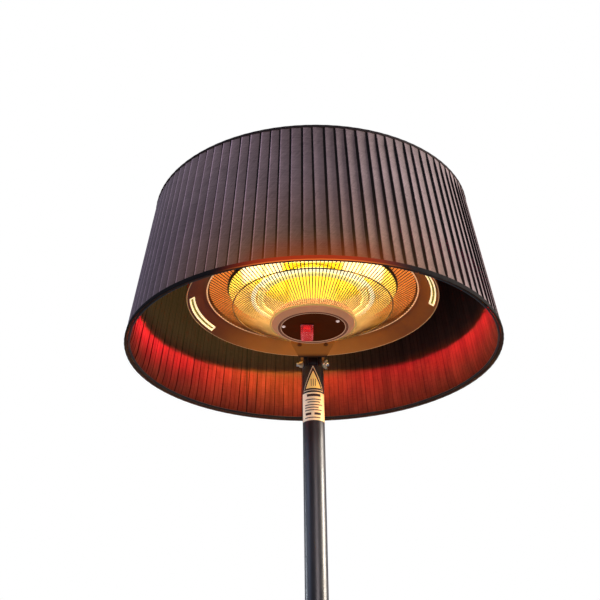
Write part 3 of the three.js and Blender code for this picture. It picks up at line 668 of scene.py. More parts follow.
def circle(center, size, sides=16):
    return [(center[0] + size * math.cos(2 * math.pi * i / sides),
             center[1] + size * math.sin(2 * math.pi * i / sides)) for i in range(sides)]


def tube_outline(outer, inner, low, high, edge):
    return rounded([(inner, low), (outer, low), (outer, high), (inner, high)], edge)


def polar(r, angle, z, origin=None):
    """The point at a radius, an angle and a height in millimetres, from the head's origin."""
    origin = HEAD if origin is None else origin
    return origin + Vector((r * math.cos(angle), r * math.sin(angle), z)) * MM


def turned(outline, steps=144, start=0.0, span=360.0, origin=None):
    """Vertices and faces of a closed outline turned round Z."""
    whole = span >= 360
    rings = steps if whole else steps + 1
    vertices, rows = [], []
    for i in range(rings):
        angle = math.radians(start + span * i / steps)
        row = []
        for j, (r, z) in enumerate(outline):
            if r < 1e-6 and i:
                row.append(rows[0][j])
                continue
            row.append(len(vertices))
            vertices.append(polar(r, angle, z, origin))
        rows.append(row)
    area = sum(outline[j - 1][0] * outline[j][1] - outline[j][0] * outline[j - 1][1]
               for j in range(len(outline)))
    faces = []
    for i in range(steps):
        a, b = rows[i], rows[(i + 1) % rings]
        for j in range(len(outline)):
            k = (j + 1) % len(outline)
            corners = list(dict.fromkeys((a[j], b[j], b[k], a[k])))
            if len(corners) > 2:
                faces.append(corners)
    if not whole:
        faces += [rows[0][::-1], rows[-1]]
    return vertices, flipped(faces) if area < 0 else faces


def lathe(name, outline, material, node="", steps=144, body="head", origin=None, sharp=35):
    """A piece turned from a closed outline."""
    vertices, faces = turned(outline, steps, origin=origin)
    return piece(name, vertices, faces, material, node, body, sharp)


def quads(rows, around, first=0, wrap=False):
    """Faces that join rows + 1 rings of vertices, and the last ring to the first if they wrap."""
    faces = []
    for row in range(rows + wrap):
        a = first + row * around
        b = first + (row + 1) % (rows + 1) * around
        for i in range(around):
            j = (i + 1) % around
            faces.append([a + i, a + j, b + j, b + i])
    return faces


def closed_tube(rows, around):
    """Faces that join rings of vertices, with a flat face at either end."""
    last = rows * around
    return quads(rows, around) + [list(range(around))[::-1], list(range(last, last + around))]


def flipped(faces):
    return [face[::-1] for face in faces]


def merged(*parts):
    """Several (vertices, faces) as one."""
    vertices, faces = [], []
    for more_vertices, more_faces in parts:
        offset = len(vertices)
        vertices += more_vertices
        faces += [[offset + i for i in face] for face in more_faces]
    return vertices, faces


def moved(part, matrix):
    return [matrix @ v for v in part[0]], part[1]


def rod(start, end, size, sides):
    """A round rod between two points, in metres."""
    heading = (end - start).normalized()
    side = heading.orthogonal().normalized()
    other = heading.cross(side)
    vertices = [point + side * x + other * y
                for point in (start, end) for x, y in circle((0, 0), size, sides)]
    return vertices, closed_tube(1, sides)


def outward(made, weld=0.0):
    """Turns every face outwards, after joining vertices that are closer than weld."""
    work = bmesh.new()
    work.from_mesh(made.data)
    if weld:
        bmesh.ops.remove_doubles(work, verts=work.verts, dist=weld)
    bmesh.ops.recalc_face_normals(work, faces=work.faces)
    work.to_mesh(made.data)
    work.free()


def apply_modifiers(made):
    evaluated = made.evaluated_get(bpy.context.evaluated_depsgraph_get())
    mesh = bpy.data.meshes.new_from_object(evaluated)
    made.modifiers.clear()
    made.data = mesh


def cut(made, vertices, faces):
    """Takes a closed shape out of a piece."""
    mesh = bpy.data.meshes.new("tool")
    mesh.from_pydata(vertices, [], faces)
    tool = bpy.data.objects.new("tool", mesh)
    scene.collection.objects.link(tool)
    cutter = made.modifiers.new("cut", "BOOLEAN")
    cutter.object = tool
    cutter.solver = "EXACT"
    apply_modifiers(made)
    bpy.data.objects.remove(tool)


def refined(node, material, bevel, segments=3):
    """A CAD node's own shape, with its facets joined, its edges rounded and its faces smooth."""
    source = frame["nodes"][node]
    mesh = source.data.copy()
    mesh.materials.clear()
    work = bmesh.new()
    work.from_mesh(mesh)
    bmesh.ops.remove_doubles(work, verts=work.verts, dist=1e-6)
    bmesh.ops.dissolve_limit(work, angle_limit=math.radians(0.5), verts=work.verts,
                             edges=work.edges)
    work.to_mesh(mesh)
    work.free()
    made = placed(f"{node}_finished", mesh, material, node, source["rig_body"], 40)
    rounding = made.modifiers.new("edges", "BEVEL")
    rounding.width = bevel * MM
    rounding.segments = segments
    rounding.limit_method = "ANGLE"
    rounding.angle_limit = math.radians(38)
    rounding.harden_normals = False
    apply_modifiers(made)
    smooth(made.data)


def lay_uvs(made, name, values):
    """Stores a UV map from one (u, v) pair per loop."""
    layer = made.data.uv_layers.new(name=name)
    layer.data.foreach_set("uv", [number for pair in values for number in pair])


# ---- shade -----------------------------------------------------------------------------------
OUTER_FOLD = [(0.0, 0.3), (0.035, 0.7), (0.09, 0.6), (0.3, -0.1), (0.62, -1.2), (0.95, -2.6),
              (1.10, -3.3), (1.04, -1.6)]          # share of a pleat's width, and radial offset
INNER_FOLD = [(0.0, -4.8), (0.05, -5.0), (0.5, -5.3), (0.93, -5.7), (0.985, -5.9)]
FOLD_END = 1.3                                     # the share stored where the next one begins


def pleated_shell(section, rows, places):
    """Rings of one side of the pleats; places collects each vertex's (around, up, share)."""
    rng = random.Random(7)
    width = 2 * math.pi / PLEATS
    lean, shove, swell = ([rng.uniform(-a, a) for _ in range(PLEATS)] for a in (0.08, 0.05, 0.12))
    vertices = []
    for row in range(rows + 1):
        t = row / rows
        height = SHADE_HEIGHT * t
        base = SHADE_R + SHADE_SLOPE * height
        ends = min(1.0, 0.22 + 9 * min(t, 1 - t))  # the hems press the pleats flat
        for i in range(PLEATS):
            start = (i + shove[i] + lean[i] * t) * width
            following = (i + 1) % PLEATS
            end = (i + 1 + shove[following] + lean[following] * t) * width
            for share, offset in section:
                angle = start + (end - start) * share
                bow = 0.5 * math.sin(math.pi * t) * math.sin(math.pi * share)
                vertices.append(polar(base + offset * (1 + swell[i]) * ends - bow, angle, height))
                places.append((base * MM * angle, height * MM, share))
    return vertices


def pleated_fabric():
    """Knife pleats: each band leans inwards to its right and tucks under the next outer fold.

    The inner side is nearly flat, as the folds there lie pressed on one another.
    """
    rows = 28
    places = []
    vertices = pleated_shell(OUTER_FOLD, rows, places)
    inner_start = len(vertices)
    vertices += pleated_shell(INNER_FOLD, rows, places)
    faces, threads, folds, sides = [], [], [], []
    for first, section, side in ((0, OUTER_FOLD, 0), (inner_start, INNER_FOLD, 1)):
        for i, face in enumerate(quads(rows, PLEATS * len(section), first)):
            next_fold = face[1:3] if (i + 1) % len(section) == 0 else ()
            if side:
                face.reverse()
            faces.append(face)
            sides.append(side)
            for corner in face:
                u, v, share = places[corner]
                threads.append((u, v))
                folds.append(((FOLD_END if corner in next_fold else share) / FOLD_END, v))
    outer_around, inner_around = PLEATS * len(OUTER_FOLD), PLEATS * len(INNER_FOLD)
    for row in (0, rows):
        outer = [row * outer_around + i for i in range(outer_around)]
        inner = [inner_start + row * inner_around + i for i in range(inner_around)]
        for pleat in range(PLEATS):
            o, n = pleat * len(OUTER_FOLD), pleat * len(INNER_FOLD)
            rim = ([outer[(o + k) % outer_around] for k in range(len(OUTER_FOLD) + 1)]
                   + [inner[(n + k) % inner_around] for k in range(len(INNER_FOLD) + 1)][::-1])
            if row == 0:
                rim.reverse()
            faces.append(rim)
            sides.append(1)
            threads += [places[corner][:2] for corner in rim]
            folds += [(0.3, 0.0)] * len(rim)
    cloth = piece("pleated_shade", vertices, faces, ["cloth", "lining"], "shade_fabric", sharp=30)
    for face, side in zip(cloth.data.polygons, sides):
        face.material_index = side
    lay_uvs(cloth, "threads", threads)
    lay_uvs(cloth, "fold", folds)
    return cloth


def hem(node):
    """A folded binding over the fabric's edge, slightly wavy where the pleats lie under it."""
    low, high = (corner.z for corner in from_head(node))
    steps, rows = 4 * PLEATS, 6
    vertices = []
    for side in (1, -1):
        for row in range(rows + 1):
            t = row / rows
            z = low + (high - low) * (t if side > 0 else 1 - t)
            reach = 1.2 + 0.75 * math.sqrt(max(0.0, 1 - (2 * t - 1) ** 4))
            for i in range(steps):
                wave = 0.16 * math.sin(math.pi * i / 2) if side > 0 else 0
                r = SHADE_R + SHADE_SLOPE * z - 0.65 + side * reach + wave
                vertices.append(polar(r, 2 * math.pi * i / steps, z))
    made = piece(f"{node}_band", vertices, quads(2 * rows + 1, steps, wrap=True),
                 ["hem", "hem_lining_lamp_lit"], node)
    for face in made.data.polygons:
        face.material_index = int(face.index >= (rows + 1) * steps)
    return made


def top_panel():
    """The closed top: a cloth disc drawn to the middle, with a shallow dip between its spokes."""
    height = from_head("shade_top_panel")[1].z
    outer, inner = radius("shade_top_panel"), 6.0
    steps, rings = 144, 16
    vertices = []
    for ring in range(rings + 1):
        t = ring / rings
        for i in range(steps):
            angle = 2 * math.pi * i / steps
            sag = 1.6 * math.sin(math.pi * t) * (0.6 - 0.4 * math.cos(4 * angle + math.pi))
            gather = 0.35 * t ** 6 * math.sin(36 * angle)
            vertices.append(polar(inner + (outer - inner) * t, angle, height - sag + gather))
    panel = piece("top_panel_cloth", vertices, flipped(quads(rings, steps)), "cloth",
                  "shade_top_panel", sharp=60)
    corners = [panel.data.vertices[loop.vertex_index].co for loop in panel.data.loops]
    lay_uvs(panel, "threads", [(at.x, at.y) for at in corners])
    lay_uvs(panel, "fold", [(0.3, at.y) for at in corners])
    panel.modifiers.new("cloth_thickness", "SOLIDIFY").thickness = 0.8 * MM
    apply_modifiers(panel)
    return panel


def build_shade():
    hems = [hem("hem_bottom"), hem("hem_top")]
    cloth = pleated_fabric()
    panel = top_panel()
    for node in ("shade_bottom_ring", "shade_top_ring"):
        low, high = from_head(node)
        size = (high.z - low.z) / 2
        lathe(f"{node}_wire", circle((radius(node) - size, (low.z + high.z) / 2), size, 12),
              "wire_paint", node)
    refined("shade_spider", "wire_paint", 0.8)
    refined("shade_stem", "wire_paint", 0.8)
    refined("stem_nut", "steel", 0.6)
    low, high = from_head("cap_nut")
    z = low.z
    dome = [(5.3, z), (13, z), (13, z + 2), (9.5, z + 3.4), (8.6, z + 7), (7, z + 10.2),
            (4, z + 12.2), (0, high.z), (0, z + 6), (5.3, z + 6)]
    lathe("cap_nut_finished", rounded(dome, 0.8), "wire_paint", "cap_nut", 64)


# ---- hood, lights and reflector --------------------------------------------------------------
def skirt_height(r):
    return THROAT.y + (r - THROAT.x) * (LIP.y - THROAT.y) / (LIP.x - THROAT.x)


def arc_block(r0, r1, low, high, middle_angle, span, steps=24):
    """A slab that follows the hood's skirt, between two radii and through an arc."""
    outline = [(r0, skirt_height(r0) + low), (r1, skirt_height(r1) + low),
               (r1, skirt_height(r1) + high), (r0, skirt_height(r0) + high)]
    return turned(outline, steps, middle_angle - span / 2, span)


def build_hood():
    top = from_head("hood")[1].z
    lip_out = radius("hood")
    wall = 1.4
    outer = [(lip_out, LIP.y + 2.2), (lip_out, 101),
             *flowing([(lip_out, 101), (lip_out - 7.3, 122), (165, 150), (95, 170), (6, top)], 8)]
    inner = [(6, top - wall), *flowing([(94.7, 170 - wall), (164.2, 150 - wall),
             (lip_out - 8.6, 121.4), (lip_out - 1.4, 100.8)], 8), (LIP.x - 0.4, LIP.y + 2.2)]
    roll = [(THROAT.x, THROAT.y + 2.4), (THROAT.x - 0.4, THROAT.y + 1.2), tuple(THROAT)]
    outline = roll + [tuple(LIP + Vector((-0.6, 0.3))), (LIP.x + 0.6, LIP.y + 0.3)] + outer + inner
    hood = lathe("hood_shell", outline, "bronze", "hood", 180)
    for angle in LIGHT_ARCS.values():
        cut(hood, *arc_block(193, 202, -6, 8, angle, LIGHT_SPAN))
    smooth(hood.data)
    # a thin bead along the lip, painted pale as a highlight
    lathe("hood_lip_bead", circle((LIP.x, LIP.y + 0.8), 0.8, 10), "hood_bead", "", 180)
    for side, angle in LIGHT_ARCS.items():
        light_arc(side, angle)
        piece(f"light_board_{side}_finished", *arc_block(192, 200.5, 3.6, 5, angle, LIGHT_SPAN),
              "board", f"light_board_{side}")


def light_arc(side, angle):
    """A frosted cover: a bright rim round a darker channel with a row of small lamps in it."""
    span = LIGHT_SPAN - 0.6
    end = span / 2 - 0.35
    rim = merged(arc_block(193.6, 195.7, -0.6, 1.6, angle, span),
                 arc_block(199.3, 201.4, -0.6, 1.6, angle, span),
                 arc_block(195.7, 199.3, -0.6, 1.6, angle - end, 0.7, 2),
                 arc_block(195.7, 199.3, -0.6, 1.6, angle + end, 0.7, 2))
    piece(f"light_cover_{side}", *rim, "cover", f"light_lens_{side}")
    piece(f"light_channel_{side}", *arc_block(195.7, 199.3, 0.7, 1.7, angle, span - 1.4), "strip")
    bead_r = 197.5
    dome = [(0, -0.9), (0.7, -0.75), (1.15, -0.3), (1.3, 0.2), (0, 0.2)]
    beads = []
    for i in range(LIGHT_BEADS):
        share = i / (LIGHT_BEADS - 1) - 0.5
        turn = math.radians(angle + share * (span - 3))
        beads.append(turned(dome, 10, origin=polar(bead_r, turn, skirt_height(bead_r) + 0.9)))
    piece(f"light_beads_{side}", *merged(*beads), "bead")


def build_reflector():
    edge = radius("reflector")
    low = from_head("reflector")[0]
    slope = flowing([(136.4, 114.8), (122, 129), (96, 138.2), (68, 141), (40, 141)], 8)
    hot = 17                                       # points of the slope that face the lamps
    lathe("reflector_dish", thick(slope[hot - 1:]), "gold", "reflector", 180, sharp=50)
    path = [(138.2, 113.3), (137, 113.2)] + slope[:hot]
    strip = lathe("reflector_dish_edge", thick(path), ["hot_gold", "black_paint"], "", 180,
                  sharp=50)
    for face in strip.data.polygons:               # painted shade: black on its back, in the gap behind the flange
        face.material_index = int(face.index % (2 * len(path)) >= len(path))
    flange = [(edge, low.z), (166, low.z), (157, 113.8), (148, 116.4), (141, 118.2)]
    # painted reflection of the shade's red light on the flange
    lathe("reflector_flange", thick(flange), "copper", "", 180, sharp=50)
    # painted shade: a black ring for the dark gap between the dish and the flange
    lathe("reflector_gap_shade_ring", tube_outline(146, 131.5, 122.5, 123.5, 0.3), "rubber", "", 180)
    low, high = from_head("centre_column")
    column = [(66.2, low.z), (66.2, low.z + 1.2), (47, low.z + 1.2), (46, low.z + 2.4),
              (46, high.z), (39, high.z), (39, high.z - 1.2), (44.8, high.z - 1.2),
              (44.8, low.z)]
    lathe("centre_column_finished", rounded(column, 0.5), "gold", "centre_column", 120)
    low, high = from_head("heat_shield")
    shield = flowing([(165, low.z), (150, 136), (118, 150), (60, high.z - 1), (14, high.z - 1)])
    lathe("heat_shield_finished", thick(shield), "zinc", "heat_shield", 96)


def lamp_tube(name, r, z, size):
    """A ring lamp: a bright tube with pinched ends that goes nearly all the way round."""
    steps, sides = 150, 14
    vertices = []
    for i in range(steps + 1):
        t = i / steps
        angle = math.radians(90 + LAMP_GAP / 2 + (360 - LAMP_GAP) * t)
        pinch = min(1.0, 0.55 + 22 * min(t, 1 - t))
        vertices += [polar(x, angle, z + (y - z) * pinch) for x, y in circle((r, z), size, sides)]
    piece(f"{name}_tube", vertices, flipped(closed_tube(steps, sides)), name, name)


def build_lamps():
    low, high = from_head("lamp_inner")
    z = (low.z + high.z) / 2
    lamp_tube("lamp_inner", 86, z, 4.4)
    lamp_tube("lamp_outer", 98, z, 3.6)
    refined("lamp_holder", "ceramic", 1.2)
    for side in ("left", "right"):
        refined(f"lamp_clip_{side}", "lit_steel", 0.2, 1)
    refined("terminal_block", "ceramic", 0.8)
    refined("light_driver", "black_plastic", 1.0)


def build_guard():
    """Radial wires welded to a collar, a hoop and an outer ring."""
    slope = (GUARD_OUTER.y - GUARD_INNER.y) / (GUARD_OUTER.x - GUARD_INNER.x)
    hoop = (HOOP_R, GUARD_INNER.y + (HOOP_R - GUARD_INNER.x) * slope - 1.9)
    parts = [turned(circle(GUARD_INNER, 1.5, 12)), turned(circle(hoop, 1.0, 10))]
    for i in range(GUARD_WIRES):
        angle = 2 * math.pi * (i + 0.5) / GUARD_WIRES
        ends = [polar(r, angle, z) for r, z in (GUARD_INNER, GUARD_OUTER)]
        parts.append(rod(*ends, 0.78 * MM, 8))
    piece("guard_wires", *merged(*parts), "guard", "guard")
    lathe("guard_outer_ring", circle(GUARD_OUTER, 1.2, 14), "rim_bright", "", 180)


# ---- control cup -----------------------------------------------------------------------------
def build_cup():
    low, high = from_head("housing_cup")
    rim_r, face_r, cup_r = 52.6, 57.7, radius("housing_cup")
    lip_z, ledge = 53.0, 42.0
    cup = [(face_r, low.z), (face_r + 1.2, low.z), (cup_r, lip_z - 0.6), (cup_r, high.z),
           (cup_r - 2, high.z), (cup_r - 2, lip_z), (ledge, lip_z), (ledge, lip_z - 2),
           (face_r, lip_z - 2)]
    lathe("housing_cup_finished", rounded(cup, 0.7), "lip", "housing_cup", sharp=50)
    lathe("housing_inner_rim", tube_outline(face_r, rim_r, low.z + 0.4, low.z + 1.4, 0.3),
          "inner_rim")
    # thin beads painted pale as highlights along the cup's lip and rim
    for name, r in (("housing_lip_bead", face_r + 0.3), ("housing_rim_bead", rim_r)):
        lathe(name, circle((r, low.z + 0.7), 0.7, 10), "lip_bead")
    refined("face_plate", "dark_face", 0.4)
    face_z = from_head("face_plate")[0].z
    lathe("face_bead", circle((54.6, face_z - 0.2), 0.7, 10), "dark_face", "", 120)
    for i in (1, 2):
        cross_screw(f"face_screw_{i}")
    for i in (1, 2):
        refined(f"neck_screw_{i}", "bronze", 0.4)
    refined("switch_body", "black_plastic", 0.5)
    refined("rocker", "red", 0.8)
    switch_boot()


def cross_screw(node):
    """A pan-head screw with a cross recess."""
    low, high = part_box(node)
    at = Vector(((low.x + high.x) / 2, (low.y + high.y) / 2, low.z))
    outline = rounded([(0, 0.25), (1.6, 0.1), (2.9, 0.9), (3.2, 1.8), (3.2, 2.2), (1.5, 2.2),
                       (1.5, 10.4), (0, 10.4)], 0.3)
    made = lathe(f"{node}_finished", outline, "chrome", node, 32, origin=at)
    square = ((-0.5, -0.5), (0.5, -0.5), (0.5, 0.5), (-0.5, 0.5))
    cube = ([Vector((x, y, z)) for z in (-0.5, 0.5) for x, y in square], closed_tube(1, 4))
    for angle in (0.4, 0.4 + math.pi / 2):
        place = (Matrix.Translation(at) @ Matrix.Rotation(angle, 4, "Z")
                 @ Matrix.Diagonal((3.6 * MM, 0.7 * MM, 1.6 * MM, 1.0)))
        cut(made, *moved(cube, place))


def switch_boot():
    """A soft clear cover over the switch: rounded corners and a slightly domed press face."""
    low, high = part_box("switch_boot")
    center = (low + high) / 2
    half = (high - low) / 2
    levels = [(0.0, 1.0), (0.5, 1.0), (0.82, 0.985), (0.93, 0.95), (0.985, 0.87),
              (1.0, 0.6)]                          # depth share from the bezel down, size share
    sides, wall, squareness = 48, 0.9 * MM, 0.28
    vertices, faces = [], []
    for inset in (0.0, wall):
        first = len(vertices)
        for depth, share in levels:
            z = high.z - (high.z - low.z - inset * 1.1) * depth
            for c, s in circle((0, 0), 1.0, sides):
                x = math.copysign(abs(c) ** squareness, c) * (half.x - inset) * share
                y = math.copysign(abs(s) ** squareness, s) * (half.y - inset) * share
                vertices.append(Vector((center.x + x, center.y + y, z)))
        faces += quads(len(levels) - 1, sides, first)
        faces.append(list(range(len(vertices) - sides, len(vertices))))
    shell = sides * len(levels)
    for i in range(sides):
        j = (i + 1) % sides
        faces.append([i, j, shell + j, shell + i])
    outward(piece("switch_boot_clear", vertices, faces, "boot", "switch_boot", sharp=60))


# ---- pole, knuckle and base ------------------------------------------------------------------
def on_pole(name, corners, lift, material, steps=14):
    """A thin sticker round the pole's front, from its rows' (height, left, right).

    They are in millimetres: the height from the pivot, and the rest round the pole's surface.
    """
    vertices = []
    for z, left, right in corners:
        for r, start, end in ((POLE_R + lift, left, right), (POLE_R, right, left)):
            for k in range(steps + 1):
                angle = (start + (end - start) * k / steps) / POLE_R - math.pi / 2
                vertices.append(polar(r, angle, z, PIVOT))
    faces = closed_tube(len(corners) - 1, 2 * (steps + 1))
    outward(piece(name, vertices, faces, material, body="stand"), 1e-7)


def build_labels():
    """Two plain stickers with no lettering: a bordered triangle, and a plate with blank bars."""
    base, apex, half = -54.0, -9.5, 19.5
    shares = [i / 10 for i in range(10)] + [0.985]
    for name, inset, lift, material in (("edge", 0.0, 0.15, "label_pale"),
                                        ("border", 0.9, 0.30, "label_ink"),
                                        ("field", 4.0, 0.45, "label_cream")):
        low, high = base + inset, apex - inset * 2.4
        wide = half - inset * 1.6
        rows = [(low + (high - low) * t, -wide * (1 - t), wide * (1 - t)) for t in shares]
        on_pole(f"triangle_label_{name}", rows, lift, material)
    for i, x in enumerate((-3.4, 0.0, 3.4)):
        on_pole(f"triangle_label_bar_{i + 1}", [(z, x - 0.55, x + 0.55) for z in (-46.5, -33.5)],
                0.6, "label_ink", 3)
    on_pole("plate_label", [(z, -22, 22) for z in (-106.0, -57.5)], 0.6, "label_pale")
    bars = [(-62.5, -11, 12, 4.4), (-70.0, -14, 13, 1.7), (-74.5, -10, 11, 1.7),
            (-79.5, -15, 15, 1.7), (-84.0, -15, 8, 1.7), (-88.5, -15, 14, 1.7),
            (-95.0, -14, -4, 4.0), (-95.0, 1, 12, 4.0), (-101.5, -15, 11, 1.7)]
    for i, (z, left, right, tall) in enumerate(bars):
        rows = [(z - tall / 2, left, right), (z + tall / 2, left, right)]
        on_pole(f"plate_label_bar_{i + 1}", rows, 0.75, "label_ink", 8)


def wing_nut(node):
    """A cast wing nut: a tapered hub with two rounded wings."""
    low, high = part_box(node)
    side = 1 if low.x + high.x > 0 else -1
    face = side * min(abs(low.x), abs(high.x))
    hub = turned(rounded([(3.3, 0), (5.8, 0), (4.9, 6.0), (4.4, 6.5), (3.3, 6.5)], 0.5), 40,
                 origin=Vector())
    outline = [Vector(p) for p in flowing([(3.6, 2.3), (6.0, 2.2), (8.2, 3.9), (10.0, 6.6),
                                           (9.6, 8.7), (7.6, 9.1), (5.8, 7.2), (4.0, 5.6)], 3)]
    center = sum(outline, Vector((0, 0))) / len(outline)
    vertices = []
    for depth, share in ((-1.3, 0.86), (-0.75, 1.0), (0.75, 1.0), (1.3, 0.86)):
        for point in outline:
            x, z = center + (point - center) * share
            vertices.append(Vector((x, depth, z)) * MM)
    wing = (vertices, closed_tube(3, len(outline)))
    other_wing = moved(wing, Matrix.Rotation(math.pi, 4, "Z"))
    place = (Matrix.Translation(PIVOT + Vector((face, 0, 0)))
             @ Matrix.Rotation(side * math.pi / 2, 4, "Y") @ Matrix.Rotation(WING_TILT, 4, "Z"))
    outward(piece(f"{node}_cast", *moved(merged(hub, wing, other_wing), place), "yellow_zinc",
                  node, node, 45))


def build_pole():
    for node in ("lower_pole", "middle_pole", "upper_pole"):
        low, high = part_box(node)
        r = radius(node)
        lathe(f"{node}_tube", tube_outline(r, r - 1.5, 0, (high.z - low.z) / MM, 0.5),
              "black_paint", node, 72, "stand", Vector((0, 0, low.z)))
    refined("pole_head", "black_plastic", 0.7)
    refined("pivot_bolt", "steel", 0.5)
    for node in ("wing_nut_left", "wing_nut_right"):
        wing_nut(node)
    refined("neck_bracket", "neck", 0.7)
    for node in ("lower_joint_screw", "upper_joint_screw"):
        refined(node, "steel", 0.4)
    for node in ("lower_coupler", "upper_coupler"):
        refined(node, "zinc", 0.3)
    refined("cable_gland", "black_plastic", 0.6)
    for node in ("mast_lead", "head_lead"):
        frame["nodes"][node].data.materials[0] = MATERIALS["rubber"]
    build_labels()


def build_base():
    ground = Vector((0, 0, 0))
    cover = radius("base_cover")
    low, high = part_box("base_cover")
    foot, crown = low.z / MM, high.z / MM
    outside = [(cover, foot), (cover, 34),
               *flowing([(cover - 0.4, 38), (cover - 3.5, 42.6), (cover - 8.5, 45.4),
                         (cover - 14, 46.4), (150, 49.4), (68, crown)], 5), (20, crown)]
    lathe("base_cover_shell", rounded(thick(outside, 1.5), 0.5), "black_paint", "base_cover", 180,
          "stand", ground, 50)
    mat = radius("rubber_mat")
    lathe("rubber_mat_sheet", rounded([(0, 0), (mat, 0), (mat, 3), (0, 3)], 0.8), "rubber",
          "rubber_mat", 144, "stand", ground)
    low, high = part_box("base_collar")
    a, b = low.z / MM, high.z / MM
    bell = [(66, a), (65, a + 5), *flowing([(62, a + 9), (50, a + 17), (36, a + 26),
                                            (27.5, a + 37), (24.5, b - 2)], 6), (24.3, b)]
    lathe("base_collar_bell", rounded(thick(bell, 1.8), 0.5), "black_plastic", "base_collar", 120,
          "stand", ground, 50)
    refined("bottom_plate", "zinc", 0.4)
    refined("ballast", "concrete", 1.5)
    refined("pole_socket", "black_paint", 0.6)
    for i in (1, 2, 3):
        refined(f"base_bolt_{i}", "steel", 0.5)
    refined("socket_screw", "black_plastic", 0.9)


# ---- camera, light and floor -----------------------------------------------------------------
def build_camera():
    """Low in front of the head and looking up, as one stands under such a heater."""
    yaw, pitch, roll = (math.radians(a) for a in (0.52, 27.92, -0.65))
    forward = Vector((math.sin(yaw) * math.cos(pitch), math.cos(yaw) * math.cos(pitch),
                      math.sin(pitch)))
    level = Vector((math.cos(yaw), -math.sin(yaw), 0))
    above = level.cross(forward)
    right = level * math.cos(roll) + above * math.sin(roll)
    up = above * math.cos(roll) - level * math.sin(roll)
    data = bpy.data.cameras.new("camera")
    data.sensor_width = 36
    data.lens = 57.4
    camera = bpy.data.objects.new("camera", data)
    scene.collection.objects.link(camera)
    turn = Matrix((right, up, -forward)).transposed().to_4x4()
    camera.matrix_world = Matrix.Translation(HEAD + Vector((-0.0336, -1.3927, -0.6396))) @ turn
    scene.camera = camera


def shining(name, kind, place, direction, power, color, **settings):
    """A light that the camera doesn't see."""
    data = bpy.data.lights.new(name, kind)
    data.energy = power
    data.color = color
    for key, value in settings.items():
        setattr(data, key, value)
    light = bpy.data.objects.new(name, data)
    scene.collection.objects.link(light)
    light.location = place
    light.rotation_euler = direction.to_track_quat("-Z", "Y").to_euler()
    light.visible_camera = False
    return light


def linked(light, use, objects):
    """Keeps a light, or its shadows, to some of the pieces."""
    group = bpy.data.collections.new(f"{light.name}_{use}")
    for each in objects:
        group.objects.link(each)
    setattr(light.light_linking, f"{use}_collection", group)


def build_world():
    """White behind the object, and a dim bluish light on it from all round."""
    world = bpy.data.worlds.new("studio")
    scene.world = world
    world.use_nodes = True
    nodes, links = world.node_tree.nodes, world.node_tree.links
    backdrop, fill = nodes["Background"], nodes.new("ShaderNodeBackground")
    for node, color, strength in ((backdrop, (1.0, 1.0, 1.0, 1.0), 1.0),
                                  (fill, (0.82, 0.84, 1.0, 1.0), 0.26)):
        node.inputs["Color"].default_value = color
        node.inputs["Strength"].default_value = strength
    mix = nodes.new("ShaderNodeMixShader")
    links.new(nodes.new("ShaderNodeLightPath").outputs["Is Camera Ray"], mix.inputs["Fac"])
    links.new(fill.outputs["Background"], mix.inputs[1])
    links.new(backdrop.outputs["Background"], mix.inputs[2])
    links.new(mix.outputs["Shader"], nodes["World Output"].inputs["Surface"])


def build_floor():
    mesh = bpy.data.meshes.new("floor")
    reach = 30.0
    mesh.from_pydata([(-reach, -reach, 0), (reach, -reach, 0), (reach, reach, 0),
                      (-reach, reach, 0)], [], [(0, 1, 2, 3)])
    mesh.materials.append(plain("pale_floor", (0.82, 0.82, 0.82), 0.6, ((3, 4), 0.02)))
    floor = bpy.data.objects.new("floor", mesh)
    floor.location.z = -0.0005
    scene.collection.objects.link(floor)
    floor.visible_diffuse = False
    floor.visible_glossy = False
    light = shining("floor_light", "SUN", Vector(), Vector((0, 0, -1)), 2.6, (1.0, 1.0, 1.0),
                    angle=math.radians(12))
    light.rotation_euler = (0.3, 0.2, 0)
    linked(light, "receiver", [floor])


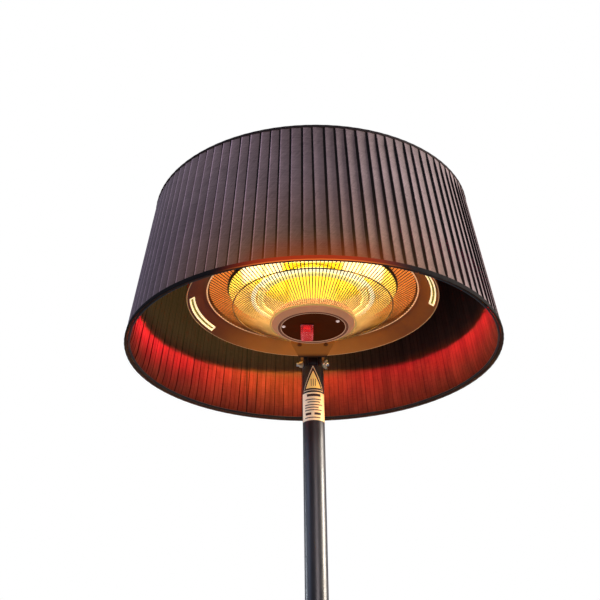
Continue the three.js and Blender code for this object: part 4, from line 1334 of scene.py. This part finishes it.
def build_lights():
    """Soft lights on the head from three sides, and two tall strips that edge the stand."""
    look = HEAD + Vector((0, 0, 0.1))
    for name, offset, size, power, color in (
            ("key_right", (2.4, 0.0, 0.3), 0.9, 118, (1.0, 0.90, 0.79)),
            ("fill_left", (-2.2, -0.5, 0.5), 1.2, 10, (0.50, 0.62, 1.0)),
            ("front_soft", (0.5, -2.6, 0.2), 1.2, 24, (1.0, 0.86, 0.90))):
        offset = Vector(offset)
        shining(name, "AREA", look + offset, -offset, power, color, shape="SQUARE", size=size)
    stand = [made for made in scene.objects if made.get("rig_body") not in ("head", None)]
    for name, offset, power, color in (
            ("strip_left", (-2.0, 0.95, 0.0), 30, (0.80, 0.88, 1.0)),
            ("strip_right", (2.1, -0.55, 0.0), 26, (1.0, 0.80, 0.52))):
        offset = Vector(offset)
        strip = shining(name, "AREA", offset + Vector((0, 0, 1.1)), -offset, power, color,
                        shape="RECTANGLE", size=0.32, size_y=2.4)
        linked(strip, "receiver", stand)


def facing(angle, degrees):
    """How nearly an angle faces a direction: 1 when it does, and 0 when it is opposite."""
    return 0.5 + 0.5 * math.cos(angle - math.radians(degrees))


def build_heat_glow():
    """The red light that leaves the head sideways, under the hood's lip, and fills the shade."""
    reached = [bpy.data.objects[name] for name in
               ("pleated_shade", "hem_bottom_band", "shade_bottom_ring_wire")]
    hood = bpy.data.objects["hood_shell"]
    glows = []
    for i in range(HEAT_LIGHTS):
        angle = 2 * math.pi * i / HEAT_LIGHTS
        way = Vector((math.cos(angle), math.sin(angle), 0))
        left, right = max(0.0, -way.x), max(0.0, way.x)
        orange, half_shade = facing(angle, 102), facing(angle, 66)
        power = ((0.95 + 1.2 * left ** 2 + 2.2 * left ** 10 + 0.4 * right ** 2
                  + 0.7 * right ** 8 + 0.5 * orange ** 12) * (1 - 0.33 * half_shade ** 16))
        place = HEAD + way * 0.150 + Vector((0, 0, 0.0895 + 0.0145 * left + 0.012 * right))
        light = shining(f"heat_{i + 1}", "SPOT", place, way, power,
                        (1.0, 0.02 + 0.78 * orange ** 24, 0.20), spot_size=math.radians(70),
                        spot_blend=1.0, shadow_soft_size=0.003)
        linked(light, "receiver", reached)
        linked(light, "blocker", [hood])
        glows.append(light)
    glows.append(shining("dish_glow", "AREA", HEAD + Vector((0, 0, 0.112)), Vector((0, 0, -1)),
                         5.0, (1.0, 0.70, 0.34), shape="DISK", size=0.2))
    for light in glows:
        light.visible_glossy = False
        light.parent = frame["bodies"]["head"]


build_camera()
build_shade()
build_hood()
build_reflector()
build_lamps()
build_guard()
build_cup()
build_pole()
build_base()
build_world()
build_floor()
build_lights()
build_heat_glow()

scene.view_settings.view_transform = "Standard"
scene.cycles.use_denoising = True
